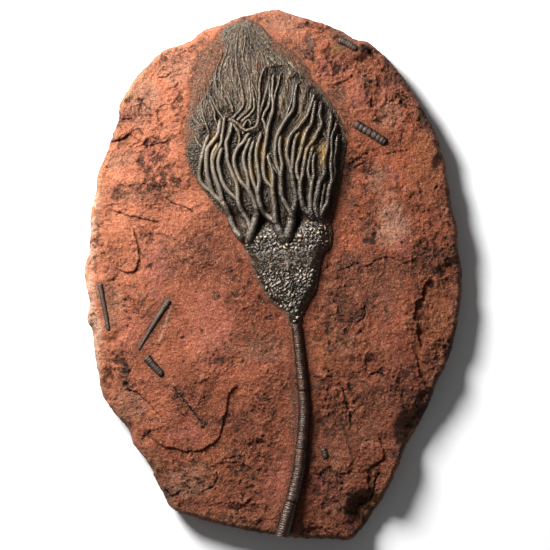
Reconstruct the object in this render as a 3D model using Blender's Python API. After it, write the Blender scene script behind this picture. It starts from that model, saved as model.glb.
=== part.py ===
"""A crinoid fossil lying on its slab of red-stained limestone.

Built in metres, +Z up. The slab lies on its flat back with the origin at the middle of that face, the
crown of the sea lily points along +Y and the stem runs towards -Y.

Plan points are written in millimetres as (across, down) on a drawing of the face, whose point
DRAWING_CENTRE lies over the origin. Heights are in metres above the back.
"""

import math

import bmesh
import bpy
from mathutils import Vector, noise
from mathutils.bvhtree import BVHTree
from mathutils.geometry import delaunay_2d_cdt

MM = 0.001
SLAB_WIDTH = 0.380
SLAB_HEIGHT = 0.533
BED = 0.034  # height of the face that the fossils lie on
EDGE_FALL = 0.005  # how much lower the face is at the rim than in the middle
EDGE_RUN = 0.060
RIM_INSET = 0.006
RIM_DROP = 0.006
GIRTH_SHARE = 0.48  # height of the widest line round the side, as a share of the face edge's height
HEEL_SHARE = 0.38  # height of the side's lowest bend, as a share of the widest line's
HEEL_INSET = 0.003
FOOT_INSET = 0.010
ARRIS_INSET = 0.0015
SIDE_SWING = 0.16  # how much those two shares vary round the slab
SIDE_LUMP = 0.03
LEDGE_FOOT = 0.003  # how far out from a ledge's top its drop reaches the lower face
GAP = 0.0003  # between pieces that touch
DRAWING_CENTRE = (273.0, 275.0)

SLAB_SPACING = 0.0145
MAT_SPACING = 0.0105
CALYX_SPACING = 0.0058
MAT_EDGE = 0.0012
ARM_SPACING = 0.0095
LIFT = 0.35  # an arm's or stem's axis stands this share of its radius above what it lies on
FRAGMENT_LIFT = -0.25  # and a loose length of stem's, which is sunk deeper in the stone
ROOT_SINK = 0.9  # how far an arm's lower end is sunk in the crown, as a share of its radius
ROOT_RUN = 0.015  # and the length over which it rises from there
CLEARANCE = 0.0004  # how far a cutter stands outside the solid that it stands for
TUBE_ROUND = 1  # a curve's bevel_resolution, which gives an arm or stem six sides
STRAND_ROUND = 0
STEM_PITCH = 0.0052  # from one raised joint of the stem to the next
STEM_RIDGE = 0.0006

SLAB_OUTLINE = [
    (272, 8), (284, 10), (302, 16), (321, 21), (343, 30), (356, 38), (370, 41), (382, 52), (390, 59),
    (399, 70), (407, 81), (413, 91), (421, 102), (426, 112), (433, 124), (438, 134), (442, 148), (446, 162),
    (449, 180), (452, 200), (455, 214), (459, 230), (459, 250), (463, 270), (462, 300), (459, 322),
    (454, 345), (447, 365), (439, 381), (434, 396), (426, 414), (416, 432), (405, 452), (398, 470),
    (390, 488), (378, 508), (364, 528), (352, 541), (335, 541), (308, 540), (280, 537), (252, 533),
    (224, 527), (196, 520), (172, 510), (163, 495), (154, 479), (147, 463), (133, 445), (127, 429),
    (111, 411), (99, 391), (97, 373), (93, 350), (91, 331), (85, 318), (88, 302), (83, 272), (88, 248),
    (90, 212), (95, 192), (97, 172), (106, 151), (110, 138), (117, 121), (119, 103), (130, 83), (146, 65),
    (163, 49), (188, 40), (203, 29), (224, 22), (233, 18), (246, 14),
]

# Outline of the feathery mat of pinnules, then of the calyx below it. Both run clockwise.
MAT_OUTLINE = [
    (240, 21), (252, 20), (264, 29), (276, 41), (291, 51), (306, 65), (313, 79), (325, 93), (335, 109),
    (344, 127), (347, 144), (343, 164), (341, 184), (336, 202), (333, 218), (327, 223), (314, 220),
    (300, 228), (292, 236), (285, 240), (275, 235), (265, 230), (256, 239), (246, 240), (236, 235),
    (229, 222), (217, 208), (206, 193), (196, 180), (188, 163), (185, 148), (186, 124), (190, 102),
    (194, 80), (201, 58), (214, 40), (226, 27),
]
CALYX_OUTLINE = [
    (246, 241.5), (256, 240.5), (265, 231.5), (275, 236.5), (285, 241.5), (292, 237.5), (300, 229.5),
    (314, 221.5), (327, 224.5), (332, 234), (330, 246), (322, 256), (319, 274), (316, 290), (308, 303),
    (303, 314), (300, 325), (294, 328), (288, 321), (283, 311), (270, 301), (261, 287), (254, 272),
    (249, 258), (244, 248),
]
# The edge of the whole crown: the mat's down to the calyx, then round the calyx and back.
CROWN_OUTLINE = MAT_OUTLINE[:15] + CALYX_OUTLINE[9:] + MAT_OUTLINE[25:]
# The crown above the bed, down the drawing: (down, its height, the distance over which it rises from its
# edge), in millimetres.
CROWN_PROFILE = [
    (0, 3, 20), (60, 4.5, 20), (110, 7.5, 20), (160, 10, 20), (215, 11, 18), (255, 10, 12), (290, 8.5, 10),
    (330, 6.5, 8),
]
# Hollows between the rays, just above the calyx: (across, down, radius, depth in millimetres).
RAY_GAPS = [(237, 219, 9, 7), (262, 220, 10, 9), (297, 220, 9, 8)]

# Each primary arm forks again and again. A branch is (radius at its root, radius at its tip, points).
ARMS = {
    "arm_left_outer": [
        (4.0, 3.0, [(244, 238), (237, 230), (233, 220), (229, 210), (221, 200)]),
        (2.3, 1.9, [(221, 200), (213, 193), (209, 184), (207, 172), (206, 160), (208, 151)]),
        (1.9, 1.6, [(209, 190), (202, 183), (200, 172), (201, 160), (206, 150), (214, 142), (218, 136)]),
        (2.3, 1.9, [(221, 200), (222, 192), (218, 181), (214, 170), (212, 160), (210, 153)]),
    ],
    "arm_left_inner": [
        (5.0, 4.0, [(248, 240), (250, 231), (255, 222), (258, 213)]),
        (3.0, 2.8, [(251, 228), (246, 218), (241, 212), (238, 204), (236, 197)]),
        (2.2, 1.8, [(236, 198), (229, 192), (224, 183), (220, 170), (219, 160), (222, 148), (223, 134), (224, 121)]),
        (2.4, 1.8, [(236, 198), (238, 189), (234, 175), (227, 161), (227, 147), (229, 133), (231, 122)]),
        (3.4, 2.8, [(258, 214), (256, 204), (252, 195), (248, 187)]),
        (2.3, 1.8, [(248, 187), (241, 179), (237, 169), (235, 158), (239, 149), (245, 140), (250, 135)]),
        (2.2, 1.8, [(248, 187), (248, 178), (245, 165), (244, 155), (247, 146), (251, 140)]),
    ],
    "arm_centre_left": [
        (5.5, 4.6, [(283, 241), (279, 230), (274, 219)]),
        (3.8, 3.0, [(275, 221), (266, 213), (260, 203), (258, 189)]),
        (2.3, 1.9, [(258, 189), (253, 180), (250, 167), (250, 155), (253, 144)]),
        (2.3, 1.8, [(258, 189), (260, 179), (257, 165), (256, 155), (259, 145), (262, 133)]),
        (3.8, 3.1, [(275, 219), (275, 206), (272, 195), (271, 185)]),
        (2.5, 2.0, [(271, 186), (265, 176), (264, 162), (265, 148), (267, 132), (271, 117), (273, 104), (273, 90), (274, 76)]),
        (1.9, 1.5, [(271, 185), (273, 176), (270, 163), (268, 153)]),
        (1.7, 1.4, [(267, 130), (263, 120), (266, 109), (270, 96), (270, 80)]),
    ],
    "arm_centre_right": [
        (5.5, 4.6, [(289, 240), (291, 228), (293, 218), (293, 211)]),
        (3.4, 2.9, [(292, 212), (285, 202), (282, 190), (281, 171)]),
        (2.5, 1.9, [(281, 172), (276, 160), (275, 147), (278, 134), (285, 122), (292, 110), (295, 97), (297, 83)]),
        (1.9, 1.6, [(281, 172), (282, 163), (280, 150), (280, 139)]),
        (3.6, 3.0, [(293, 212), (296, 200), (294, 186), (291, 168)]),
        (2.4, 1.9, [(291, 169), (287, 156), (288, 144), (294, 133), (302, 124), (308, 113), (314, 99)]),
        (2.0, 1.7, [(292, 169), (293, 158), (294, 148), (297, 138)]),
        (1.6, 1.3, [(286, 120), (288, 111), (292, 101), (293, 87)]),
    ],
    "arm_right_inner": [
        (4.4, 3.6, [(316, 226), (310, 217), (305, 208), (302, 200)]),
        (3.2, 2.9, [(302, 201), (301, 191), (301, 181)]),
        (2.4, 1.8, [(301, 182), (297, 173), (298, 162), (302, 148), (307, 132), (312, 120), (315, 106), (318, 96)]),
        (2.3, 1.8, [(301, 182), (304, 171), (305, 158), (309, 147), (316, 137), (321, 126), (319, 113), (322, 103)]),
        (3.0, 2.6, [(311, 218), (310, 205), (311, 192), (311, 181)]),
        (2.0, 1.7, [(311, 182), (308, 172), (309, 160), (312, 149)]),
        (2.0, 1.6, [(311, 182), (314, 172), (313, 160)]),
    ],
    "arm_right_outer": [
        (3.6, 3.0, [(322, 224), (318, 214), (316, 202), (318, 190)]),
        (2.6, 1.9, [(318, 191), (321, 180), (325, 171), (325, 159), (328, 145), (329, 131), (331, 118)]),
        (2.4, 1.6, [(320, 215), (323, 202), (325, 191), (325, 183)]),
        (2.8, 2.2, [(322, 216), (327, 203), (330, 190), (332, 178)]),
        (1.8, 1.5, [(332, 179), (331, 168), (330, 159)]),
        (1.8, 1.5, [(332, 179), (335, 170), (333, 161), (333, 148), (335, 136)]),
    ],
}

# The fine ends of the arms, drawn together towards the crown's tip: each is a share of the way from
# the mat's left edge to its right one, and how far down the drawing it starts and ends.
STRANDS = [
    (0.08, 150, 62), (0.14, 134, 44), (0.20, 118, 38), (0.27, 112, 31), (0.34, 108, 27), (0.41, 112, 26),
    (0.48, 112, 28), (0.55, 96, 33), (0.62, 66, 38), (0.70, 66, 44), (0.77, 72, 50), (0.86, 70, 58),
    (0.95, 84, 74),
]
STRAND_RADII = (1.7, 1.1)
STRAND_STEP = 18  # millimetres down the drawing from one point of a strand to the next
# The mat's left and right edges: (down, left, right).
MAT_SPAN = [
    (22, 236, 256), (30, 224, 266), (40, 217, 276), (50, 208, 290), (62, 200, 303), (78, 195, 312),
    (92, 192, 323), (108, 189, 334), (126, 186, 343), (150, 186, 345),
]

STEM_ROUTE = [
    (296, 326), (298, 338), (299, 350), (301, 370), (303, 390), (304, 410), (303, 432), (301, 450),
    (299, 470), (295, 488), (291, 503), (286, 520), (282, 536),
]
STEM_RADII = (5.0, 6.9)  # millimetres, at the calyx and at the broken lower end
STEM_BREAKS = (391, 449, 502)  # where the stem is cracked across, down the drawing
BREAK_DEPTH = 0.0009
PLAIN_SPACING = 9.0  # millimetres between the points of a length of stem that has no ribs

# Loose lengths of stem in the bedding: (name, radius at start and end, ridge pitch, route).
FRAGMENTS = [
    ("stem_piece_left", 3.0, 1.8, 0, [(100, 285), (103, 300), (106, 315), (108, 329)]),
    ("stem_piece_long", 3.6, 1.3, 0, [(169, 301), (160, 314), (150, 330), (139, 349)]),
    ("stem_piece_ribbed", 4.2, 3.6, 4.4, [(147, 358), (154, 366), (162, 374)]),
    ("stem_piece_right", 4.6, 4.2, 4.6, [(355, 124), (364, 129), (374, 135), (385, 142)]),
    ("stem_piece_top", 4.0, 3.4, 4.4, [(339, 40), (347, 43), (356, 49)]),
    ("stem_piece_small", 3.4, 3.0, 0, [(323, 449), (326, 457)]),
]

# Broken edges in the face: the rock drops to the left of the line as it is followed.
# (drop in mm, distance in mm over which the lower side rises again, line).
LEDGES = [
    (2.4, 45, [(231, 388), (225, 411), (219, 434), (205, 449), (184, 451), (163, 445), (152, 435)]),
    (2.6, 22, [(131, 226), (136, 244), (137, 262), (132, 272), (121, 270)]),
    (3.2, 50, [(424, 286), (420, 298), (415, 312), (416, 328), (418, 341)]),
    (2.2, 25, [(414, 354), (417, 367), (423, 382)]),
    (2.6, 26, [(148, 403), (132, 390), (122, 379), (116, 371)]),
    (2.4, 20, [(128, 133), (119, 140), (110, 141)]),
    (2.0, 26, [(156, 221), (140, 217), (117, 211)]),
    (2.0, 22, [(384, 459), (371, 466), (367, 475), (368, 485)]),
    (1.8, 24, [(340, 390), (346, 407), (349, 424)]),
    (2.0, 25, [(164, 141), (147, 144), (134, 137)]),
]
# Scars where the rim has broken away: (across, down, radius, depth), in millimetres.
CHIPS = [
    (424, 432, 32, 12), (368, 512, 25, 11), (430, 402, 16, 5), (100, 392, 16, 5), (150, 480, 15, 4),
    (160, 505, 18, 5), (86, 232, 26, 4), (108, 142, 10, 4), (455, 275, 20, 4), (445, 350, 16, 3),
    (375, 46, 13, 5), (200, 30, 12, 4), (126, 433, 13, 6), (310, 541, 20, 4), (445, 165, 14, 4),
]

STONE = {"colour": (0.36, 0.10, 0.06, 1), "roughness": 0.85}
FOSSIL = {"colour": (0.12, 0.11, 0.09, 1), "roughness": 0.50}
MAT = {"colour": (0.10, 0.09, 0.075, 1), "roughness": 0.65}


def plan(point):
    """A point of the drawing as (x, y) in metres."""
    across, down = point
    return Vector(((across - DRAWING_CENTRE[0]) * MM, (DRAWING_CENTRE[1] - down) * MM))


def smooth(t):
    """0 up to t = 0, 1 from t = 1, and an easy curve between."""
    t = min(1.0, max(0.0, t))
    return t * t * (3 - 2 * t)


def catmull(a, b, c, d, t):
    """The point at t between b and c on the curve through all four."""
    return 0.5 * (
        2 * b + (c - a) * t + (2 * a - 5 * b + 4 * c - d) * t * t + (3 * b - a - 3 * c + d) * t ** 3
    )


def ring_curve(points, steps):
    """A closed curve through the points, with this many steps a span."""
    n = len(points)
    return [
        catmull(points[i - 1], points[i], points[(i + 1) % n], points[(i + 2) % n], s / steps)
        for i in range(n)
        for s in range(steps)
    ]


def line_curve(points, spacing):
    """An open curve through the points, in steps of about this length."""
    ends = [2 * points[0] - points[1]] + list(points) + [2 * points[-1] - points[-2]]
    curve = []
    for i in range(1, len(ends) - 2):
        steps = max(1, round((ends[i + 1] - ends[i]).length / spacing))
        curve += [catmull(*ends[i - 1:i + 3], s / steps) for s in range(steps)]
    return curve + [points[-1].copy()]


def segment_distance(p, a, b):
    """How far p is from the segment ab, and on which side of it: positive to the left."""
    along = b - a
    t = min(1.0, max(0.0, (p - a).dot(along) / max(along.length_squared, 1e-12)))
    away = p - (a + along * t)
    side = 1 if along.x * away.y - along.y * away.x > 0 else -1
    return away.length, side


def line_distance(p, line):
    """Distance from p to an open line, positive to the left of it as it is followed."""
    distance, side = min(segment_distance(p, a, b) for a, b in zip(line, line[1:]))
    return distance * side


def ring_distance(p, ring):
    """Distance from p to a closed line, positive inside it."""
    nearest = min(segment_distance(p, a, b)[0] for a, b in zip(ring, ring[1:] + ring[:1]))
    inside = False
    for a, b in zip(ring, ring[1:] + ring[:1]):
        if (a.y > p.y) != (b.y > p.y) and p.x < a.x + (p.y - a.y) / (b.y - a.y) * (b.x - a.x):
            inside = not inside
    return nearest if inside else -nearest


def fitted(ring):
    """The ring stretched a little so that it fills the slab's stated width and height."""
    xs = [p.x for p in ring]
    ys = [p.y for p in ring]
    middle = Vector(((min(xs) + max(xs)) / 2, (min(ys) + max(ys)) / 2))
    wide = SLAB_WIDTH / (max(xs) - min(xs))
    high = SLAB_HEIGHT / (max(ys) - min(ys))
    return [Vector(((p.x - middle.x) * wide, (p.y - middle.y) * high)) for p in ring]


def inset_ring(ring, distance):
    """The ring moved inwards. It runs clockwise, so inwards is to the right of each step."""
    moved = []
    for i, p in enumerate(ring):
        along = (ring[(i + 1) % len(ring)] - ring[i - 1]).normalized()
        moved.append(p + Vector((along.y, -along.x)) * distance)
    return moved


def along_table(table, key, column=1):
    """The value in this column of the table's rows, read at a key between their first values."""
    for low, high in zip(table, table[1:]):
        if key <= high[0]:
            t = (key - low[0]) / (high[0] - low[0])
            return low[column] + (high[column] - low[column]) * t
    return table[-1][column]


def crown_height(p):
    """Height of the crown's rounded back over the bed: the mat's and the calyx's surface."""
    down = DRAWING_CENTRE[1] - p.y / MM
    shoulder = along_table(CROWN_PROFILE, down, 2) * MM
    rise = smooth(0.12 + ring_distance(p, CROWN_RING) / shoulder)
    height = MAT_EDGE + (along_table(CROWN_PROFILE, down) * MM - MAT_EDGE) * rise
    for across, low, radius, depth in RAY_GAPS:
        away = (p - plan((across, low))).length / (radius * MM)
        height -= depth * MM * math.exp(-away * away)
    return max(height, MAT_EDGE)


def fossil_distance(p):
    """How far p lies outside every fossil's footprint; nothing or less inside one."""
    distances = [-ring_distance(p, MAT_RING), -ring_distance(p, CALYX_RING)]
    distances.append(abs(line_distance(p, STEM_LINE)) - STEM_RADII[1] * MM)
    for line, radius in FRAGMENT_LINES:
        distances.append(abs(line_distance(p, line)) - radius)
    return min(distances)


def face_height(p):
    """Height of the slab's face. It is flat under the fossils and uneven round them."""
    inside = ring_distance(p, SLAB_RING)
    height = -EDGE_FALL * (1 - smooth(inside / EDGE_RUN))
    for scale, swing in ((0.060, 0.0022), (0.022, 0.0011)):
        height += swing * noise.noise(Vector((p.x / scale, p.y / scale, 3.7)))
    for drop, run, line in LEDGE_LINES:
        away = line_distance(p, line)
        if away > 0:
            height -= drop * math.exp(-((away / run) ** 2))
    height *= smooth((fossil_distance(p) - 0.002) / 0.013)
    for across, down, radius, depth in CHIPS:
        away = (p - plan((across, down))).length / (radius * MM)
        height -= depth * MM * (1 - smooth((away - 0.45) / 0.55))
    return BED + height - RIM_DROP * (1 - smooth(inside / RIM_INSET))


def material(name, look):
    made = bpy.data.materials.new(name)
    made.use_nodes = True
    shader = made.node_tree.nodes["Principled BSDF"]
    shader.inputs["Base Color"].default_value = look["colour"]
    shader.inputs["Roughness"].default_value = look["roughness"]
    shader.inputs["Metallic"].default_value = 0.0
    return made


def collection(name):
    made = bpy.data.collections.new(name)
    bpy.context.scene.collection.children.link(made)
    return made


def add_object(name, data, look=None, helper=False):
    """A new object in the model's collection, or a hidden helper in the cutters' one."""
    made = bpy.data.objects.new(name, data)
    (CUTTERS if helper else MODEL).objects.link(made)
    made.hide_render = helper
    if helper:
        made.display_type = "WIRE"
    if look is not None:
        data.materials.append(look)
    return made


def grid_inside(ring, lines, spacing):
    """A honeycomb of points inside the ring, none of them close to it or to the lines."""
    xs = [p.x for p in ring]
    ys = [p.y for p in ring]
    row_step = spacing * math.sqrt(3) / 2
    points = []
    for row in range(int((max(ys) - min(ys)) / row_step) + 1):
        y = min(ys) + row * row_step
        start = min(xs) + (row % 2) * spacing / 2
        for column in range(int((max(xs) - start) / spacing) + 1):
            p = Vector((start + column * spacing, y))
            if ring_distance(p, ring) < spacing * 0.6:
                continue
            if all(abs(line_distance(p, line)) > spacing * 0.55 for line in lines):
                points.append(p)
    return points


def surface(ring, lines, spacing, height):
    """A triangulated sheet over the ring, with edges along the lines, lifted to height(p)."""
    points = [p.copy() for p in ring]
    edges = [(i, (i + 1) % len(ring)) for i in range(len(ring))]
    for line in lines:
        edges += [(len(points) + i, len(points) + i + 1) for i in range(len(line) - 1)]
        points += line
    points += grid_inside(ring, lines, spacing)
    places, _, faces, *_ = delaunay_2d_cdt(points, edges, [list(range(len(ring)))], 1, 1e-6)
    sheet = bmesh.new()
    corners = [sheet.verts.new((p.x, p.y, height(p))) for p in places]
    for face in faces:
        sheet.faces.new([corners[i] for i in face])
    loose = [v for v in sheet.verts if not v.link_faces]
    bmesh.ops.delete(sheet, geom=loose, context="VERTS")
    bmesh.ops.recalc_face_normals(sheet, faces=sheet.faces)
    if sum(f.normal.z for f in sheet.faces) < 0:
        bmesh.ops.reverse_faces(sheet, faces=sheet.faces)
    return sheet


def skirt(sheet, place):
    """Grows a wall from the sheet's open edge; place(vertex) says where each new corner goes."""
    rim = [e for e in sheet.edges if e.is_boundary]
    grown = bmesh.ops.extrude_edge_only(sheet, edges=rim)["geom"]
    for v in grown:
        if isinstance(v, bmesh.types.BMVert):
            v.co = place(v.co)


def close_under(sheet):
    """Fills the sheet's last open edge with one flat face and makes all faces point out."""
    bmesh.ops.contextual_create(sheet, geom=[e for e in sheet.edges if e.is_boundary])
    bmesh.ops.triangulate(sheet, faces=[f for f in sheet.faces if len(f.verts) > 4])
    bmesh.ops.recalc_face_normals(sheet, faces=sheet.faces)


def finished(sheet, name):
    mesh = bpy.data.meshes.new(name)
    sheet.to_mesh(mesh)
    sheet.free()
    return mesh


def lower_lip(line):
    """The line of a ledge moved to the foot of its drop."""
    moved = []
    for i, p in enumerate(line):
        along = (line[min(i + 1, len(line) - 1)] - line[max(i - 1, 0)]).normalized()
        moved.append(p + Vector((-along.y, along.x)) * LEDGE_FOOT)
    return moved


def move_to(ring, target, share, rough):
    """Returns the move from a corner of one ring to the same corner of another, at this share of its height."""
    def place(co):
        corner = min(range(len(ring)), key=lambda i: (ring[i] - co.xy).length)
        p = target[corner]
        return Vector((p.x, p.y, co.z * (share + rough * noise.noise(p.to_3d() / SIDE_LUMP))))
    return place


def make_slab():
    """The stone: an uneven face, a broken side that is widest at its girth, and a flat back."""
    rim = inset_ring(SLAB_RING, RIM_INSET)
    lines = [rim + rim[:1]]
    for _, _, line in LEDGE_LINES:
        lines += [line, lower_lip(line)]
    sheet = surface(SLAB_RING, lines, SLAB_SPACING, face_height)
    arris = inset_ring(SLAB_RING, ARRIS_INSET)
    pull = move_to(SLAB_RING, arris, 0.0, 0.0)
    for v in {v for e in sheet.edges if e.is_boundary for v in e.verts}:
        v.co.xy = pull(v.co).xy
    heel = inset_ring(SLAB_RING, HEEL_INSET)
    foot = inset_ring(SLAB_RING, FOOT_INSET)
    skirt(sheet, move_to(arris, SLAB_RING, GIRTH_SHARE, SIDE_SWING))
    skirt(sheet, move_to(SLAB_RING, heel, HEEL_SHARE, SIDE_SWING))
    skirt(sheet, move_to(heel, foot, 0.0, 0.0))
    close_under(sheet)
    return add_object("matrix_slab", finished(sheet, "matrix_slab"), STONE_LOOK)


def make_relief(name, ring, spacing, look, extra=lambda p: 0.0):
    """A fossil that is a rounded crust on the bed, with a flat underside just clear of it."""
    sheet = surface(ring, [], spacing, lambda p: BED + GAP + crown_height(p) + extra(p))
    skirt(sheet, lambda co: Vector((co.x, co.y, BED + GAP)))
    close_under(sheet)
    return add_object(name, finished(sheet, name), look)


def calyx_bumps(p):
    """The calyx's plates are raised in small knobs."""
    inside = smooth(ring_distance(p, CALYX_RING) / 0.006)
    return 0.0010 * inside * noise.noise(Vector((p.x / 0.006, p.y / 0.006, 9.1)))


def on_bed(name, line, radii, lift):
    """A tube whose lower part is sunk in the flat bed, cut off flat just clear of it."""
    heights = [BED + GAP + lift * r for r in radii]
    made = add_object(name, tube(name, line, radii, heights).data, FOSSIL_LOOK)
    boolean(made, BLOCK, "DIFFERENCE")
    return settled(made)


def make_stem():
    """The stem, with a raised joint every few millimetres and three cracks across it."""
    line = line_curve([plan(p) for p in STEM_ROUTE], STEM_PITCH / 2)
    cracks = [DRAWING_CENTRE[1] - down for down in STEM_BREAKS]
    first, last = STEM_RADII
    radii = []
    for i, p in enumerate(line):
        radius = (first + (last - first) * i / (len(line) - 1)) * MM
        at_crack = min(abs(p.y - y * MM) for y in cracks) < STEM_PITCH / 4
        radii.append(radius - BREAK_DEPTH if at_crack else radius + STEM_RIDGE * (i % 2))
    return on_bed("stem", line, radii, LIFT)


def make_fragments():
    """The loose lengths of stem; the coarse ones are ribbed."""
    for name, start, end, pitch, route in FRAGMENTS:
        line = line_curve([plan(p) for p in route], (pitch / 2 or PLAIN_SPACING) * MM)
        rib = STEM_RIDGE if pitch else 0.0
        taper = [(start + (end - start) * i / (len(line) - 1)) * MM for i in range(len(line))]
        on_bed(name, line, [radius + rib * (i % 2) for i, radius in enumerate(taper)], FRAGMENT_LIFT)


def arm_lines():
    """Every branch of every arm as its plan curve and the radius at each of its points."""
    trees = {}
    for name, branches in ARMS.items():
        trees[name] = []
        for root, tip, route in branches:
            line = line_curve([plan(p) for p in route], ARM_SPACING)
            radii = [(root + (tip - root) * i / (len(line) - 1)) * MM for i in range(len(line))]
            trees[name].append((line, radii))
    return trees


def room_for(p, trees, own):
    """The largest radius at p that leaves a gap to the arms of the other trees."""
    others = [line for name, tree in trees.items() if name != own for line, _ in tree]
    return min(abs(line_distance(p, line)) for line in others) / 2 - GAP


def top_of(tree, p):
    """Height of the highest face over p; beside the solids and in the slot between them, of the crown's form."""
    hit = tree.ray_cast(Vector((p.x, p.y, 1.0)), Vector((0, 0, -1)))[0]
    return hit.z if hit else BED + GAP + crown_height(p)


def tube(name, line, radii, heights, sides=TUBE_ROUND):
    """A closed tube along the plan curve at these heights, as a mesh."""
    curve = bpy.data.curves.new(name, "CURVE")
    curve.dimensions = "3D"
    curve.bevel_depth = 1.0
    curve.bevel_resolution = sides
    curve.use_fill_caps = True
    spline = curve.splines.new("POLY")
    spline.points.add(len(line) - 1)
    for point, p, radius, height in zip(spline.points, line, radii, heights):
        point.co = (p.x, p.y, height, 1)
        point.radius = radius
    drawn = add_object(name + "_curve", curve, helper=True)
    graph = bpy.context.evaluated_depsgraph_get()
    shape = bmesh.new()
    shape.from_mesh(bpy.data.meshes.new_from_object(drawn.evaluated_get(graph)))
    bmesh.ops.remove_doubles(shape, verts=shape.verts, dist=1e-6)
    bmesh.ops.recalc_face_normals(shape, faces=shape.faces)
    made = add_object(name + "_tube", finished(shape, name), helper=True)
    made.matrix_world = drawn.matrix_world
    bpy.data.objects.remove(drawn)
    return made


def boolean(target, other, operation):
    """Adds a Boolean modifier of this operation to target."""
    modifier = target.modifiers.new(operation.lower(), "BOOLEAN")
    modifier.operation = operation
    modifier.solver = "EXACT"
    modifier.object = other


def settled(obj):
    """Replaces obj's mesh by what its modifiers make of it."""
    graph = bpy.context.evaluated_depsgraph_get()
    mesh = bpy.data.meshes.new_from_object(obj.evaluated_get(graph))
    obj.modifiers.clear()
    obj.data = mesh
    return obj


def inflated(obj, distance):
    """A hidden copy of obj that stands this far outside it, to cut a clearance with."""
    shape = bmesh.new()
    shape.from_mesh(obj.data)
    bmesh.ops.recalc_face_normals(shape, faces=shape.faces)
    shape.normal_update()
    moves = [v.normal * distance * v.calc_shell_factor() for v in shape.verts]
    for v, move in zip(shape.verts, moves):
        v.co += move
    return add_object(obj.name + "_clearance", finished(shape, obj.name + "_clearance"), helper=True)


def faces_of(objects):
    """The faces of these objects, ready to be searched."""
    corners, faces = [], []
    for obj in objects:
        first = len(corners)
        corners += [v.co.copy() for v in obj.data.vertices]
        faces += [[first + i for i in face.vertices] for face in obj.data.polygons]
    return BVHTree.FromPolygons(corners, faces)


def bed_block():
    """A hidden block that reaches from below up to the clearance over the flat bed."""
    shape = bmesh.new()
    bmesh.ops.create_cube(shape, size=1.0)
    for v in shape.verts:
        v.co = Vector((v.co.x, v.co.y, BED + GAP - 0.02 + 0.02 * (v.co.z + 0.5)))
    return add_object("bed_clearance", finished(shape, "bed_clearance"), helper=True)


def make_arms(trees, ground, mat_clearance):
    """Each arm: its forking tubes joined in one solid, and cut clear of what it lies on.

    Also gives a slightly thicker and longer tube for each arm's lower end, to cut the calyx clear of it.
    """
    made, cutters = [], []
    for name, tree in trees.items():
        tubes = []
        for i, (line, radii) in enumerate(tree):
            fit = [min(r, room_for(p, trees, name)) for p, r in zip(line, radii)]
            heights = [top_of(ground, p) + LIFT * r for p, r in zip(line, fit)]
            if i == 0:  # the arm's own lower end, which all its forks grow from
                sinks = [1 - smooth(k * ARM_SPACING / ROOT_RUN) for k in range(len(line))]
                heights = [h - ROOT_SINK * s * r for h, s, r in zip(heights, sinks, fit)]
                start = line[0] + (line[0] - line[1]).normalized() * 3 * CLEARANCE
                wider = [r + 2 * CLEARANCE for r in fit]
                cutters.append(tube(f"{name}_clearance", [start, *line[1:]], wider, heights))
            tubes.append(tube(f"{name}_{i}", line, fit, heights))
        arm = add_object(name, tubes[0].data, FOSSIL_LOOK)
        for other in tubes[1:]:
            boolean(arm, other, "UNION")
        settled(arm)
        for cutter in (mat_clearance, BLOCK):
            boolean(arm, cutter, "DIFFERENCE")
        made.append(settled(arm))
    return made, cutters


def add_strands(mat, ground):
    """Grows the fine arm ends on the mat, as ridges that are part of it."""
    for i, (share, start, end) in enumerate(STRANDS):
        downs = list(range(start, end, -STRAND_STEP)) + [end]
        route = []
        for down in downs:
            left = along_table(MAT_SPAN, down, 1)
            right = along_table(MAT_SPAN, down, 2)
            route.append(plan((left + share * (right - left), down)))
        first, last = STRAND_RADII
        radii = [(first + (last - first) * k / (len(route) - 1)) * MM for k in range(len(route))]
        heights = [top_of(ground, p) for p in route]
        boolean(mat, tube(f"strand_{i}", route, radii, heights, STRAND_ROUND), "UNION")
    settled(mat)


for old in list(bpy.data.objects):
    bpy.data.objects.remove(old)
MODEL = collection("crinoid_fossil")
CUTTERS = collection("cutters")
STONE_LOOK = material("red_limestone", STONE)
FOSSIL_LOOK = material("dark_calcite", FOSSIL)
MAT_LOOK = material("pinnule_calcite", MAT)

SLAB_RING = fitted(ring_curve([plan(p) for p in SLAB_OUTLINE], 1))
MAT_RING = ring_curve([plan(p) for p in MAT_OUTLINE], 1)
CALYX_RING = ring_curve([plan(p) for p in CALYX_OUTLINE], 2)
CROWN_RING = [plan(p) for p in CROWN_OUTLINE]
STEM_LINE = line_curve([plan(p) for p in STEM_ROUTE], 0.012)
FRAGMENT_LINES = [([plan(p) for p in route], start * MM) for _, start, _, _, route in FRAGMENTS]
LEDGE_LINES = [
    (drop * MM, run * MM, line_curve([plan(p) for p in line], 0.012)) for drop, run, line in LEDGES
]
BLOCK = bed_block()

make_slab()
mat = make_relief("pinnule_mat", MAT_RING, MAT_SPACING, MAT_LOOK)
calyx = make_relief("calyx", CALYX_RING, CALYX_SPACING, FOSSIL_LOOK, calyx_bumps)
stem = make_stem()
make_fragments()
crown_faces = faces_of([mat, calyx])
arms, arm_clearances = make_arms(arm_lines(), crown_faces, inflated(mat, CLEARANCE))
add_strands(mat, crown_faces)
for cutter in [*arm_clearances, inflated(stem, CLEARANCE)]:
    boolean(calyx, cutter, "DIFFERENCE")
settled(calyx)
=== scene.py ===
"""The looks of a crinoid fossil on its slab of iron-stained limestone.

The slab lies on its flat back, and the camera looks straight down on the face. Plan points are written
in millimetres as (across, down) on a drawing of the face whose point DRAWING_CENTRE lies over the
origin. Everything else is in metres, unless a comment says otherwise. The whole numbers handed to the
noise functions after the sizes are their seeds.
"""

import math

import bpy
import numpy as np
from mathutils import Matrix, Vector, noise
from mathutils.geometry import delaunay_2d_cdt


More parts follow.
